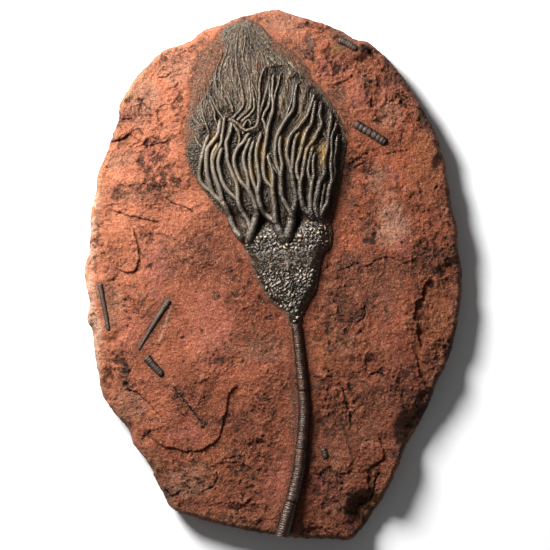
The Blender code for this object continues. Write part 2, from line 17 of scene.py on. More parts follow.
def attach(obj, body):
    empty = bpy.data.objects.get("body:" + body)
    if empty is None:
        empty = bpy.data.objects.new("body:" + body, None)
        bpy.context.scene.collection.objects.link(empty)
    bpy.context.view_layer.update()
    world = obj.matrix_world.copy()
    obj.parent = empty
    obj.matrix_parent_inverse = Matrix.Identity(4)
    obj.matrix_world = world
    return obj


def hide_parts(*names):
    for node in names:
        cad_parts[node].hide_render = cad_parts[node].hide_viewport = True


MM = 0.001
DRAWING_CENTRE = (273.0, 275.0)
SLAB_WIDTH = 0.380
SLAB_HEIGHT = 0.533
BED = 0.034  # height of the face that the fossils lie on
TOP = 0.0492  # nothing stands higher than this
EDGE_FALL = 0.005  # how much lower the face is at the rim than in the middle
EDGE_RUN = 0.060  # how far in from the rim that fall begins
RIM_INSET = 0.006  # the face rounds over this close to the rim
RIM_DROP = 0.006
ARRIS_INSET = 0.0010
MAT_EDGE = 0.0012  # how far the crown stands over the bed at its edge
SINK = 0.0015  # how deep the crown's underside reaches into the stone

COARSE_SPACING = 0.0060  # between the slab's points under the fossils
FACE_SPACING = 0.00150
FINE_SPACING = 0.00095  # along ledges and cracks
FINE_REACH = 0.0035
FOOTPRINT_EDGE = 0.003  # the face's own points end this far inside a fossil's footprint
CURVE_PARTS = 16  # straight parts between two points of a drawn curve
LINE_STEP = 0.004  # between the points of a line that distances are measured to
SIDE_ROWS = 14
# How far the side lies inside the rim, from the arris (0) down to the back (1).
SIDE_SHARES = [0, 0.30, 0.55, 0.85, 1]
SIDE_INSETS = [0.0010, 0.0, 0.0, 0.004, 0.010]
SIDE_BLUR = 12  # the side's stains are averaged over this many rim points each way

ARM_STEP = 0.0006
ARM_JOINT = 0.0021  # length of one joint of an arm
ARM_SIDES = 12
UPPER_ARM_SIDES = 8
TRUNK_RADIUS = 3.2  # in millimetres; thicker branches are trunks, smoother and without pinnules
PINNULE_STEPS = 8
PINNULE_SIDES = 5
PINNULE_SPACING = 0.0019
PINNULE_LENGTH = 0.0062
FAN_SPACING = 0.0018
FAN_THICKNESS = 0.00055
STRAND_STEPS = 13
STRAND_STEP = 0.0014
STRAND_SIDES = 5
STRAND_SPACING = 0.0037
STRAND_THICKNESS = 0.00072
STRANDS_END = 125  # the loose strands begin above this row of the drawing
MAT_RING_STEP = 0.0018
MAT_SPACING = 0.00105
FINE_MAT_SPACING = 0.00095  # between the arms, below the row GRAIN_START
GRAIN_START = 105
GAP_DEPTH = 0.0020  # how far the mat lies below the crown's rounded back, between the arms
CALYX_RING_STEP = 0.0009
CALYX_SPACING = 0.00075
KNOB_SIZE = 0.0040
NET_SIZE = 0.0029
BAND_ROW = 260  # the calyx's smooth band runs across here, down the drawing
NET_START = 258  # knobs above this row, the net of small plates below it
STEM_SIDES = 26

KEY_AZIMUTH = 132  # the one lamp, in degrees: where it stands, and how high
KEY_HEIGHT = 33
KEY_DISTANCE = 1.35
KEY_SIZE = 0.64
KEY_WATTS = 63
ROOM_STRENGTH = 0.115
FLOOR_SIZE = 12
FLOOR_LEVEL = -0.0005
CAMERA_DISTANCE = 6.0
CAMERA_ACROSS = 0.002
VIEW_WIDTH = 0.550  # what the picture spans at the bed
SENSOR = 36.0

# Colours in linear RGB.
SALMON = (0.53, 0.175, 0.090)
ORANGE = (0.30, 0.074, 0.030)
DEEP = (0.150, 0.036, 0.015)
UMBER = (0.035, 0.011, 0.006)
DUST = (0.64, 0.25, 0.13)
FLECK = (0.72, 0.42, 0.30)
GOLD = (0.34, 0.19, 0.045)
SOIL = (0.095, 0.044, 0.024)
COAT_DARK = (0.022, 0.011, 0.006)
COAT_LIGHT = (0.180, 0.074, 0.038)
GLINT = (1.0, 0.915, 0.83)  # the fossils' highlights are faintly warm
FLOOR_WHITE = (0.93, 0.93, 0.93)
STAINS = {
    "pale": (0.33, 0.175, 0.115),
    "pink": (0.33, 0.095, 0.062),
    "orange": (0.26, 0.075, 0.026),
    "brown": (0.062, 0.028, 0.015),
    "silt": (0.045, 0.032, 0.024),
    "ochre": (0.30, 0.16, 0.06),
    "cream": (0.60, 0.42, 0.30),
    "soot": (0.010, 0.007, 0.006),
}
# The fossils' kinds of calcite: dark in the grooves and undersides and light on the crests, a range that
# carries painted shade and painted highlight as well as the calcite's tone. grain is the strength of the
# fine relief, soil how much dirt clings to it, and coated says whether brown stone can cover it.
LOOKS = {
    "arm": dict(dark=(0.004, 0.0035, 0.003), light=(0.125, 0.098, 0.072), roughness=0.24, specular=0.78,
                grain=0.9, soil=0.2),
    "mat": dict(dark=(0.005, 0.0043, 0.0035), light=(0.310, 0.228, 0.154), roughness=0.33, specular=0.6,
                coated=True),
    "calyx": dict(dark=(0.005, 0.004, 0.003), light=(0.58, 0.462, 0.345), roughness=0.25, specular=0.75,
                  grain=0.7, coated=True),
    "stem": dict(dark=(0.005, 0.003, 0.0025), light=(0.095, 0.046, 0.031), roughness=0.24, specular=0.5,
                 grain=0.5),
    "fragment": dict(dark=(0.006, 0.004, 0.003), light=(0.100, 0.068, 0.054), roughness=0.42, specular=0.4,
                     grain=0.6),
}

SLAB_OUTLINE = [
    (272, 8), (284, 10), (302, 16), (321, 21), (343, 30), (356, 38), (370, 41), (382, 52), (390, 59),
    (399, 70), (407, 81), (413, 91), (421, 102), (426, 112), (433, 124), (438, 134), (442, 148), (446, 162),
    (449, 180), (452, 200), (455, 214), (459, 230), (459, 250), (463, 270), (462, 300), (459, 322),
    (454, 345), (447, 365), (439, 381), (434, 396), (426, 414), (416, 432), (405, 452), (398, 470),
    (390, 488), (378, 508), (364, 528), (352, 541), (335, 541), (308, 540), (280, 537), (252, 533),
    (224, 527), (196, 520), (172, 510), (163, 495), (154, 479), (147, 463), (133, 445), (127, 429),
    (111, 411), (99, 391), (97, 373), (93, 350), (91, 331), (85, 318), (88, 302), (83, 272), (88, 248),
    (90, 212), (95, 192), (97, 172), (106, 151), (110, 138), (117, 121), (119, 103), (130, 83), (146, 65),
    (163, 49), (188, 40), (203, 29), (224, 22), (233, 18), (246, 14),
]

# Outline of the feathery mat of pinnules, then of the calyx below it. Both run clockwise.
MAT_OUTLINE = [
    (240, 21), (252, 20), (264, 29), (276, 41), (291, 51), (306, 65), (313, 79), (325, 93), (335, 109),
    (344, 127), (347, 144), (343, 164), (341, 184), (336, 202), (333, 218), (327, 223), (314, 220),
    (300, 228), (292, 236), (285, 240), (275, 235), (265, 230), (256, 239), (246, 240), (236, 235),
    (229, 222), (217, 208), (206, 193), (196, 180), (188, 163), (185, 148), (186, 124), (190, 102),
    (194, 80), (201, 58), (214, 40), (226, 27),
]
CALYX_OUTLINE = [
    (246, 241.5), (256, 240.5), (265, 231.5), (275, 236.5), (285, 241.5), (292, 237.5), (300, 229.5),
    (314, 221.5), (327, 224.5), (332, 234), (330, 246), (322, 256), (319, 274), (316, 290), (308, 303),
    (303, 314), (300, 325), (294, 328), (288, 321), (283, 311), (270, 301), (261, 287), (254, 272),
    (249, 258), (244, 248),
]
# Outline of the dark part of the mat; the rest of the mat is coated with brown stone. Clockwise.
DARK_OUTLINE = [
    (230, 18), (240, 14), (249, 14), (252, 22), (262, 28), (267, 34), (269, 43), (276, 52), (288, 58),
    (298, 66), (304, 74), (309, 84), (318, 88), (326, 96), (334, 108), (341, 120), (346, 133), (346, 148),
    (341, 162), (340, 178), (336, 196), (331, 210), (327, 226), (240, 244), (233, 227), (228, 217),
    (217, 208), (208, 196), (197, 182), (189, 168), (184, 152), (190, 143), (195, 137), (188, 127),
    (189, 118), (194, 108), (203, 97), (208, 88), (214, 74), (224, 54), (222, 42), (224, 26),
]
# The edge of the whole crown: the mat's down to the calyx, then round the calyx and back.
CROWN_OUTLINE = MAT_OUTLINE[:15] + CALYX_OUTLINE[9:] + MAT_OUTLINE[25:]
# The crown above the bed, down the drawing: (down, its height, the distance over which it rises from its
# edge), in millimetres.
CROWN_PROFILE = [
    (0, 3, 20), (60, 4.5, 20), (110, 7.5, 20), (160, 10, 20), (215, 11, 18), (255, 10, 12), (290, 8.5, 10),
    (330, 6.5, 8),
]
# Hollows between the rays, just above the calyx: (across, down, radius, depth in millimetres).
RAY_GAPS = [(237, 219, 9, 7), (262, 220, 10, 9), (297, 220, 9, 8)]

# Each arm's branches: (radius at its root, radius at its tip, extra height, points from root to tip).
ARMS = {
    "arm_left_outer": [
        (4.0, 3.0, 0, [(246, 241), (241, 237), (236, 231), (232, 224), (230, 217), (226, 208),
            (221, 200)]),
        (2.7, 2.1, 0, [(221, 200), (215, 196), (212, 191), (210, 184), (208, 177), (206.7, 169),
            (206.4, 160), (207, 153), (208, 148), (211, 144), (215, 139), (218, 134), (219.6, 126),
            (220, 120)]),
        (2.2, 1.8, 0, [(210, 190), (205, 187), (200.6, 181), (199.5, 173), (200.5, 165), (202, 157),
            (203.5, 151), (205, 145), (207, 140), (209, 134)]),
        (2.6, 2.0, 0, [(221, 200), (221, 194), (219, 187), (216.6, 181), (214, 173), (212.7, 166),
            (212.4, 159), (213.5, 153), (216, 148), (218, 143)]),
        (1.9, 1.5, 0, [(213, 160), (216, 152), (219.5, 147), (221.5, 142), (222, 136), (223, 130),
            (224, 122), (225, 116)]),
    ],
    "arm_left_inner": [
        (5.0, 4.0, 0, [(249, 242), (250, 235), (253, 226), (256, 217), (257, 210)]),
        (3.4, 2.8, 0, [(251, 229), (248, 221), (243, 213), (239.6, 206), (238, 200), (236.6, 196)]),
        (2.5, 2.0, 0, [(236.6, 197), (231, 194), (226.8, 189), (223, 183), (221, 177), (219.4, 171),
            (218.4, 164), (219, 158), (221, 151), (222, 147)]),
        (2.5, 1.9, 0, [(236.6, 197), (237.6, 189), (236.2, 182), (233.4, 176), (231, 170), (229, 165),
            (227.4, 160), (227.2, 154), (226.6, 148), (226.4, 143), (228, 138), (229.8, 133), (231, 128),
            (231.6, 123), (230, 119)]),
        (3.6, 3.0, 0, [(257, 212), (255.5, 205), (252.6, 198), (249.6, 192), (247, 186)]),
        (2.5, 1.9, 0, [(247, 187), (243, 184), (239.4, 179), (237, 173), (235, 167), (234, 161),
            (234.6, 156), (236.4, 151), (238.8, 147), (242, 144), (244.4, 141), (246.6, 137), (249, 134),
            (252, 132.5)]),
        (2.4, 1.9, 0, [(247, 187), (247.9, 180), (246.6, 173), (244.6, 166), (243.6, 159), (244.8, 152),
            (247.2, 146), (249.6, 140), (252, 137)]),
    ],
    "arm_centre_left": [
        (5.8, 4.6, 0, [(284, 243), (282, 236), (278, 228), (274, 219)]),
        (3.6, 3.0, 0, [(274, 219), (268, 216.5), (263, 211), (260.2, 205), (258.4, 198), (257.4, 192),
            (257.5, 187)]),
        (2.4, 1.9, 0, [(257.5, 188), (253.8, 183), (252, 177), (250.8, 171), (250, 164), (250, 157),
            (250.8, 151), (252.6, 145), (254, 140)]),
        (2.5, 1.9, 0, [(257.5, 188), (259.4, 182), (259, 176), (257.8, 169), (256.8, 162), (256.2, 156),
            (256.8, 149), (258.6, 142), (260.4, 136), (261, 132)]),
        (3.9, 3.2, 0, [(274, 219), (274.8, 212), (274.2, 204), (273, 196), (272.4, 189), (272, 183)]),
        (2.4, 1.8, 0, [(272, 184), (267, 182.5), (264.4, 177), (263.4, 170), (263.4, 163), (264, 156),
            (264.6, 149), (265.8, 142), (267, 135), (268.2, 126), (271.2, 116), (273, 109), (273, 102),
            (272, 96), (272.4, 88), (273, 80), (273.6, 74)]),
        (2.3, 1.7, 0, [(272, 184), (273, 178), (272.4, 172), (270.6, 166), (268.8, 160), (268, 153)]),
        (1.8, 1.3, 0, [(267.4, 131), (265, 125), (262.8, 119), (265.2, 112), (268.2, 107), (269.4, 102),
            (270, 96), (269.4, 88), (270.3, 80)]),
        (1.5, 1.1, 0, [(274, 100), (275.7, 92), (277.8, 86), (279, 80), (280.4, 73)]),
    ],
    "arm_centre_right": [
        (5.8, 4.6, 0, [(287, 243), (288, 234), (290.4, 226), (291.6, 218), (291.4, 210)]),
        (3.6, 3.0, 0, [(291.4, 211), (286, 205), (282.6, 199), (281.2, 191), (280.8, 183), (280.6, 176),
            (280, 170)]),
        (2.5, 1.9, 0, [(280, 171), (277, 166), (275.6, 160), (274.8, 154), (275, 148), (275.7, 142),
            (277, 136), (279.4, 131), (282.2, 126), (285, 121), (287.8, 117), (291, 113), (293.4, 108),
            (294.3, 102), (294.8, 95), (295.8, 88), (297.4, 82)]),
        (2.4, 1.8, 0, [(280, 171), (282, 166), (281.4, 160), (280.2, 154), (279.6, 147), (279.8, 141),
            (281, 135)]),
        (3.6, 3.0, 0, [(291.4, 211), (294.6, 206), (295.6, 198), (294.4, 190), (292.8, 183), (292, 175),
            (291, 167)]),
        (2.4, 1.9, 0, [(291, 168), (289, 163), (287.4, 158), (286.8, 152), (287.4, 146), (288.8, 140),
            (291, 135), (294, 131), (297.4, 128), (300.8, 124), (304.8, 119), (307.4, 115), (309.2, 110),
            (311.4, 104), (313.2, 98), (315, 93)]),
        (2.4, 1.8, 0, [(291, 168), (292.6, 163), (292.9, 157), (293.4, 151), (294, 146), (295, 141),
            (297, 136), (300, 132)]),
        (1.4, 1.0, 0, [(285.6, 119), (288, 111), (291, 103), (292, 98), (292.8, 91), (293.6, 84)]),
        (1.5, 1.2, 0, [(277.4, 173), (273.6, 168), (270.6, 163), (268.6, 158)]),
    ],
    "arm_right_inner": [
        (4.4, 3.6, 0, [(317, 227), (313, 219), (308, 213), (304, 208), (301.4, 201)]),
        (3.3, 2.9, 0, [(301.4, 202), (300.4, 195), (300.3, 188), (300.2, 181), (299.6, 178)]),
        (2.4, 1.8, 0, [(299.6, 179), (297, 174), (296.8, 169), (297.2, 164), (298.6, 159), (300, 154),
            (301.4, 148), (303, 142), (304.9, 136), (307, 130), (310.2, 126), (312, 121), (313, 115),
            (314, 109), (314.8, 104), (315.8, 99)]),
        (2.4, 1.8, 0, [(299.6, 179), (302.4, 175), (303.2, 169), (304.2, 163), (305.4, 156), (306.8, 150),
            (309, 146), (311.8, 143), (314.6, 139), (317, 133.6), (319.8, 128.6), (321.4, 124),
            (320.4, 119), (319.4, 114), (320.4, 109), (321.4, 102)]),
        (3.0, 2.6, 0, [(310, 217), (310.8, 211), (310.2, 205), (310.1, 198), (310.7, 191), (311.6, 184),
            (311.4, 179)]),
        (2.1, 1.7, 0, [(311.4, 180), (309, 176), (308, 172), (308.4, 167), (309.4, 161), (310.8, 155),
            (312.2, 149), (314.2, 145)]),
        (2.0, 1.5, 0, [(311.4, 180), (313.6, 176), (313.2, 170), (313, 164), (313.6, 158), (315.4, 152)]),
    ],
    "arm_right_outer": [
        (3.8, 3.0, 0, [(321, 226), (318.6, 219), (316.6, 213), (315.5, 207), (315.8, 201), (317, 195),
            (317.6, 190)]),
        (2.7, 1.9, 0, [(317.6, 191), (319.2, 183), (322.4, 177), (324.4, 172), (324, 166), (323.6, 161),
            (325, 155), (326.8, 149), (327.9, 143), (328.3, 136), (329.4, 128), (330.8, 120), (331, 112)]),
        (2.0, 1.5, -0.6, [(319, 214), (321.4, 205), (322.6, 196), (324.2, 189), (324.8, 182)]),
        (2.8, 2.2, 0, [(320, 217), (323, 210), (326, 205), (327.6, 199), (328.3, 193), (329.6, 187),
            (331.6, 181), (332.6, 178)]),
        (2.0, 1.5, 0, [(332.6, 179), (331.4, 174), (330.6, 167), (331, 160), (331.5, 152), (331.2, 144),
            (331.6, 137), (333, 132), (335.4, 127), (336, 120)]),
        (2.0, 1.5, 0, [(332.6, 179), (334.4, 174), (334.8, 169), (334, 163), (334.6, 156), (336, 149),
            (336.6, 141), (338, 134)]),
    ],
}

# The tangle of arm ends above the crown's middle, lying over the mat: as the branches above.
UPPER_ARMS = [
    (1.9, 1.4, 1.6, [(229, 119.5), (231.6, 120.4), (235.2, 122.2), (239, 125.2), (242.4, 128.8),
        (246, 130.8), (250, 129.6), (254, 128.2), (257, 125), (258.4, 118), (258.7, 110), (258.9, 103),
        (259.6, 96), (259.2, 89), (260, 81), (262, 73), (266, 66)]),
    (1.6, 1.3, 0.6, [(230, 121.5), (233, 124.4), (236, 128.2), (238.4, 132.4), (239.5, 137), (239.3, 142),
        (238, 147), (236, 151)]),
    (1.6, 1.2, 0.4, [(232.4, 112), (232, 107.6), (229.6, 101.6), (226.4, 94.4), (222.6, 87), (220, 80),
        (219.6, 73), (222, 64), (226, 54), (228, 44)]),
    (1.6, 1.2, 0.4, [(227.5, 106), (223.4, 99), (219.2, 92), (216, 86), (215.2, 78), (217, 68), (221, 58),
        (222.6, 49)]),
    (1.6, 1.2, 0.6, [(233.2, 118), (236.4, 114.2), (240, 110.4), (242.9, 106), (243.6, 101), (242.8, 95),
        (241.2, 86), (239.4, 78), (237.4, 70), (236.4, 62), (236, 52), (236.6, 42), (238, 32)]),
    (1.7, 1.2, 0.8, [(237.6, 120.4), (241, 117), (245, 113.4), (249.2, 109.2), (250.8, 104), (250.8, 97),
        (250, 89), (249.4, 80), (247, 71), (243.6, 63), (243, 54), (244.6, 44), (245, 34)]),
    (1.6, 1.3, 0.6, [(241.6, 122), (244.6, 119), (248.4, 116.2), (252, 112.4), (254.4, 107.6), (254, 101),
        (253.2, 95), (252, 88), (251, 81)]),
    (1.2, 0.9, 0.9, [(257, 99), (256.2, 94), (254.4, 88.6), (252, 83.6), (251.2, 78), (253, 72.5)]),
    (1.6, 1.2, 0.7, [(258.4, 121), (260.4, 112), (263, 103), (265.8, 93), (268.2, 84), (269.8, 76)]),
    (1.5, 1.2, 0.2, [(243.6, 134), (243, 129), (244.6, 124), (248, 120), (250.6, 123), (250, 127.4)]),
    (1.3, 1.0, 0.4, [(224.4, 121), (221.6, 116), (218, 111), (214.6, 105), (212, 99), (208.6, 95)]),
    (1.3, 1.0, 0.2, [(217.8, 126), (215, 119), (214.4, 112), (212, 105), (209.4, 98)]),
    (1.2, 0.9, 0.2, [(209, 133), (206.6, 126), (204, 118), (202, 110), (201.6, 103), (204, 97)]),
    (1.2, 0.9, 0.2, [(204, 149), (198, 143), (194.6, 136), (191, 130), (188.4, 124)]),
    (1.1, 0.8, 0.2, [(203, 128), (198, 123), (193.6, 118), (192, 112)]),
]

# Fans of fine pinnules between the upper arms, sloping down to the right: (first end, last end, length in
# millimetres).
FANS = [
    ((276, 76), (281, 116), 11), ((297, 92), (300, 122), 10), ((318, 104), (322, 132), 8),
    ((284, 90), (286, 112), 6),
]

STEM_ROUTE = [
    (296, 324), (297.6, 338), (299, 350), (301, 370), (303, 390), (304, 410), (303, 432), (301, 450),
    (299, 470), (295, 488), (291, 503), (286, 520), (281.6, 537),
]
STEM_RADII = (4.6, 7.0)
STEM_PITCH = 2.2
FRAGMENT_LIFT = -0.25  # a loose length's axis stands this share of its radius above the bed
STEM_BREAKS = (391, 449, 502)  # where the stem is cracked across, down the drawing

# Loose lengths of stem: (name, radius at start and end, ridge pitch, route).
FRAGMENTS = [
    ("stem_piece_left", 2.8, 2.0, 1.8, [(100, 284), (103, 300), (106, 315), (108.4, 330)]),
    ("stem_piece_long", 3.6, 1.3, 2.2, [(169, 300), (160, 314), (150, 330), (138.4, 350)]),
    ("stem_piece_ribbed", 4.2, 3.6, 2.4, [(146.4, 357), (154, 366), (162, 374.4)]),
    ("stem_piece_right", 4.6, 4.2, 4.8, [(355, 123.4), (364, 129), (374, 135), (385.4, 142.4)]),
    ("stem_piece_top", 4.0, 3.4, 2.6, [(338.6, 39.6), (347, 43), (356, 49)]),
    ("stem_piece_small", 3.4, 3.0, 2.6, [(323, 448.4), (326, 457.6)]),
]

# Broken edges in the face: the rock drops to the left of the line as it is followed.
# (drop in mm, distance in mm over which the lower side rises again, line).
LEDGES = [
    (2.4, 45, [(233, 389), (229, 393), (226, 408), (222, 424), (219, 437), (212, 443), (205, 448),
        (200, 450), (182, 450.5), (175, 448), (162, 445), (155, 440), (151, 434)]),
    (2.6, 22, [(131, 226), (134, 234), (137, 246), (138, 260), (133, 271), (122, 270)]),
    (3.2, 50, [(424, 286), (421, 292), (421.5, 298), (415.5, 303), (415, 310), (413, 318), (417, 326),
        (416, 333), (419, 341)]),
    (2.2, 25, [(414, 353), (417, 362), (418, 370), (423, 382)]),
    (2.6, 26, [(157, 412), (150, 404), (143, 397), (137, 391), (128, 389), (122, 380), (116, 372)]),
    (2.4, 20, [(128, 133), (121, 138), (110, 141)]),
    (2.0, 26, [(156, 221), (148, 219), (138, 216), (126, 214), (117, 211)]),
    (2.4, 22, [(380, 443), (384, 457), (378, 462), (370, 466), (367, 474), (368, 486)]),
    (1.8, 24, [(336, 388.5), (343, 389), (345, 399), (348, 409), (350, 424)]),
    (2.0, 25, [(166, 141), (157, 143), (147, 144), (134, 137)]),
]
# Smaller broken edges, as above.
STEPS = [
    (1.3, 12, [(322, 432), (325, 419), (327, 405), (330, 393), (337, 388)]),
    (1.5, 18, [(380, 443), (372, 432), (362, 422), (350, 410)]),
    (1.3, 10, [(361, 466), (362, 447), (369, 442), (380, 444)]),
    (1.2, 12, [(162, 398), (170, 400), (176, 404), (182, 412), (184, 416)]),
    (1.4, 12, [(158, 428), (151, 431), (143, 437)]),
    (1.0, 12, [(222, 379), (222, 371), (228, 369), (234, 364)]),
    (1.2, 12, [(307, 14), (308, 20), (303, 26), (294, 28)]),
    (1.1, 12, [(384, 375), (378, 372), (372, 374)]),
    (1.3, 14, [(380, 153), (384, 146), (388, 136), (380, 130), (371, 122), (362, 119), (352, 118)]),
    (1.2, 10, [(367, 355), (365.5, 362), (365, 368)]),
    (1.0, 20, [(186, 190), (170, 184), (156, 186), (140, 182), (126, 186), (112, 178), (95, 176)]),
    (0.8, 20, [(196, 206), (184, 210), (172, 205), (160, 209), (146, 204), (131, 207), (118, 203),
        (104, 206)]),
    (1.0, 14, [(186, 246), (176, 239), (164, 233), (154, 234), (146, 230)]),
    (1.0, 14, [(114, 96), (124, 99), (131, 106), (140, 104), (150, 110), (158, 118)]),
    (1.1, 14, [(178, 96), (170, 104), (163, 104), (156, 112), (160, 124)]),
    (1.2, 18, [(404, 150), (391, 152), (375, 155), (362, 162), (352, 168), (340, 172)]),
    (1.0, 12, [(376, 148), (364, 154), (354, 160), (345, 165)]),
    (1.2, 18, [(418, 256), (404, 262), (392, 256), (377, 258), (367, 266), (356, 262), (344, 268)]),
    (1.0, 14, [(356, 204), (362, 210), (372, 219), (378, 228)]),
    (0.7, 14, [(300, 432), (296, 444), (286, 452), (272, 446), (258, 440), (244, 444), (232, 438)]),
    (0.6, 14, [(276, 458), (262, 460), (246, 456), (232, 462), (224, 461), (212, 466)]),
    (0.7, 14, [(266, 510), (252, 504), (236, 508), (220, 502), (204, 506), (190, 500), (176, 505)]),
    (1.2, 12, [(178, 494), (172, 496), (166, 489)]),
    (1.0, 14, [(350, 470), (342, 474), (328, 468), (318, 474), (306, 470)]),
    (1.1, 12, [(350, 70), (362, 68), (372, 74), (377, 83), (368, 86)]),
    (1.0, 12, [(372, 92), (370, 102), (374, 112), (371, 121)]),
    (1.0, 12, [(350, 78), (338, 82), (330, 86), (322, 80), (314, 76)]),
    (1.0, 12, [(428, 116), (420, 108), (408, 104), (400, 98), (392, 100)]),
    (1.0, 14, [(232, 270), (222, 272), (212, 264), (198, 268), (188, 262)]),
    (0.9, 12, [(238, 300), (247, 312), (256, 330), (266, 342), (280, 350)]),
]
# Cracks in the face: (depth in mm, line).
CRACKS = [
    (1.4, [(110.8, 141.6), (121, 139.7), (128.7, 134)]),
    (1.3, [(159.3, 77.8), (166, 76.5), (170.8, 73.3)]),
    (1.2, [(170.8, 88.6), (175, 86.6), (178.4, 83)]),
    (1.2, [(138.9, 98.2), (144, 104), (150.4, 109.7)]),
    (1.6, [(118.5, 118.2), (125, 119.4), (131, 118.6)]),
    (1.6, [(184.2, 482.6), (187, 486.4), (190, 488.4)]),
    (1.7, [(217, 473), (217, 481), (212, 487.4), (203, 491.6)]),
    (1.5, [(166, 490), (172, 496), (178, 494)]),
    (1.5, [(230, 458), (236, 456.4)]),
    (1.4, [(343, 388), (345, 399), (348, 409)]),
    (1.2, [(174, 388), (184, 400), (192, 410), (203, 424)]),
    (1.4, [(372, 374.4), (378, 372), (384, 375)]),
    (1.4, [(415, 402), (419, 412)]),
    (1.6, [(380, 472), (376, 480), (374, 492), (371, 500)]),
    (1.4, [(366, 356), (366, 364)]),
    (1.5, [(365, 307), (364.6, 317), (358, 322)]),
    (1.3, [(150, 431), (143, 437)]),
    (1.3, [(355, 205), (360, 207)]),
    (1.3, [(398, 94), (403, 100), (408, 98)]),
    (1.2, [(166, 198), (174, 204), (183, 206), (192, 212)]),
    (1.1, [(228, 369), (234, 364)]),
]
# Dark granules and pits in the face: (across, down, radius) in millimetres.
SPOTS = [
    (153, 345, 1.8), (184, 337, 1.7), (202, 333, 1.6), (231, 341, 2.3), (232, 335, 1.6), (125.5, 300, 2.6),
    (124, 306, 2.4), (106.5, 286, 1.5), (243, 362, 2.4), (243, 358, 1.4), (184, 361, 2.0), (208, 352, 1.6),
    (214, 355, 1.7), (217, 350, 1.4), (266, 364, 1.8), (397, 184, 1.5), (401, 189, 1.7), (399, 193, 1.6),
    (396, 197, 1.3), (413, 210.6, 2.0), (418, 211, 1.5), (425, 211.6, 1.8), (429, 211, 1.9),
    (422, 215, 1.2), (437, 187, 2.0), (442, 188, 1.8), (438, 191, 1.3), (441, 217, 1.6), (402, 243, 2.2),
    (406, 245, 1.4), (396, 235, 1.2), (430, 177, 1.9), (433, 226, 1.3), (380, 228, 1.8), (381, 235, 1.8),
    (376, 233, 2.0), (451, 225, 2.4), (449, 245, 1.6), (361, 219, 1.8), (404, 408, 2.4), (398, 397, 1.6),
    (372, 412, 1.5), (349, 495, 2.6), (402, 102, 2.2), (406, 106, 2.4), (403, 92, 2.0), (408, 91, 2.2),
    (402, 114, 1.8), (409, 115, 2.0), (413, 113, 1.8), (426, 117, 3.0), (389, 66, 2.4), (388, 61, 1.8),
    (397, 74, 2.2), (386, 74, 1.8), (363, 46, 2.6), (369, 52, 2.6), (363, 52, 2.0), (377, 52, 2.2),
    (371, 82, 3.0), (366, 76, 2.0), (372, 100, 1.8), (372, 106, 2.2), (352, 76, 2.0), (345, 71, 1.8),
    (340, 70, 1.5), (336, 62, 1.5), (332, 66, 1.4), (310, 55, 2.2), (313, 60, 2.2), (307, 58, 1.5),
    (118, 286, 1.6), (130, 285, 1.5), (196, 292, 1.6), (219, 297, 1.9), (220, 303, 1.5), (202, 331, 2.0),
    (182, 338, 2.0), (126, 366, 3.0), (123, 377, 2.8), (127, 384, 2.6), (129, 372, 3.0), (206, 424, 3.2),
    (203, 428, 2.4), (154, 152, 1.5), (147, 147, 1.4), (158, 144, 1.2), (126, 312, 2.4), (130, 319, 2.6),
    (128, 326, 1.8), (110, 297, 1.6), (145, 279, 1.2), (174, 296, 1.3), (366, 241, 4.4), (373, 242, 4.4),
    (374, 236, 3.4), (181, 413, 1.8), (183, 415, 1.6), (137, 290, 1.3),
]
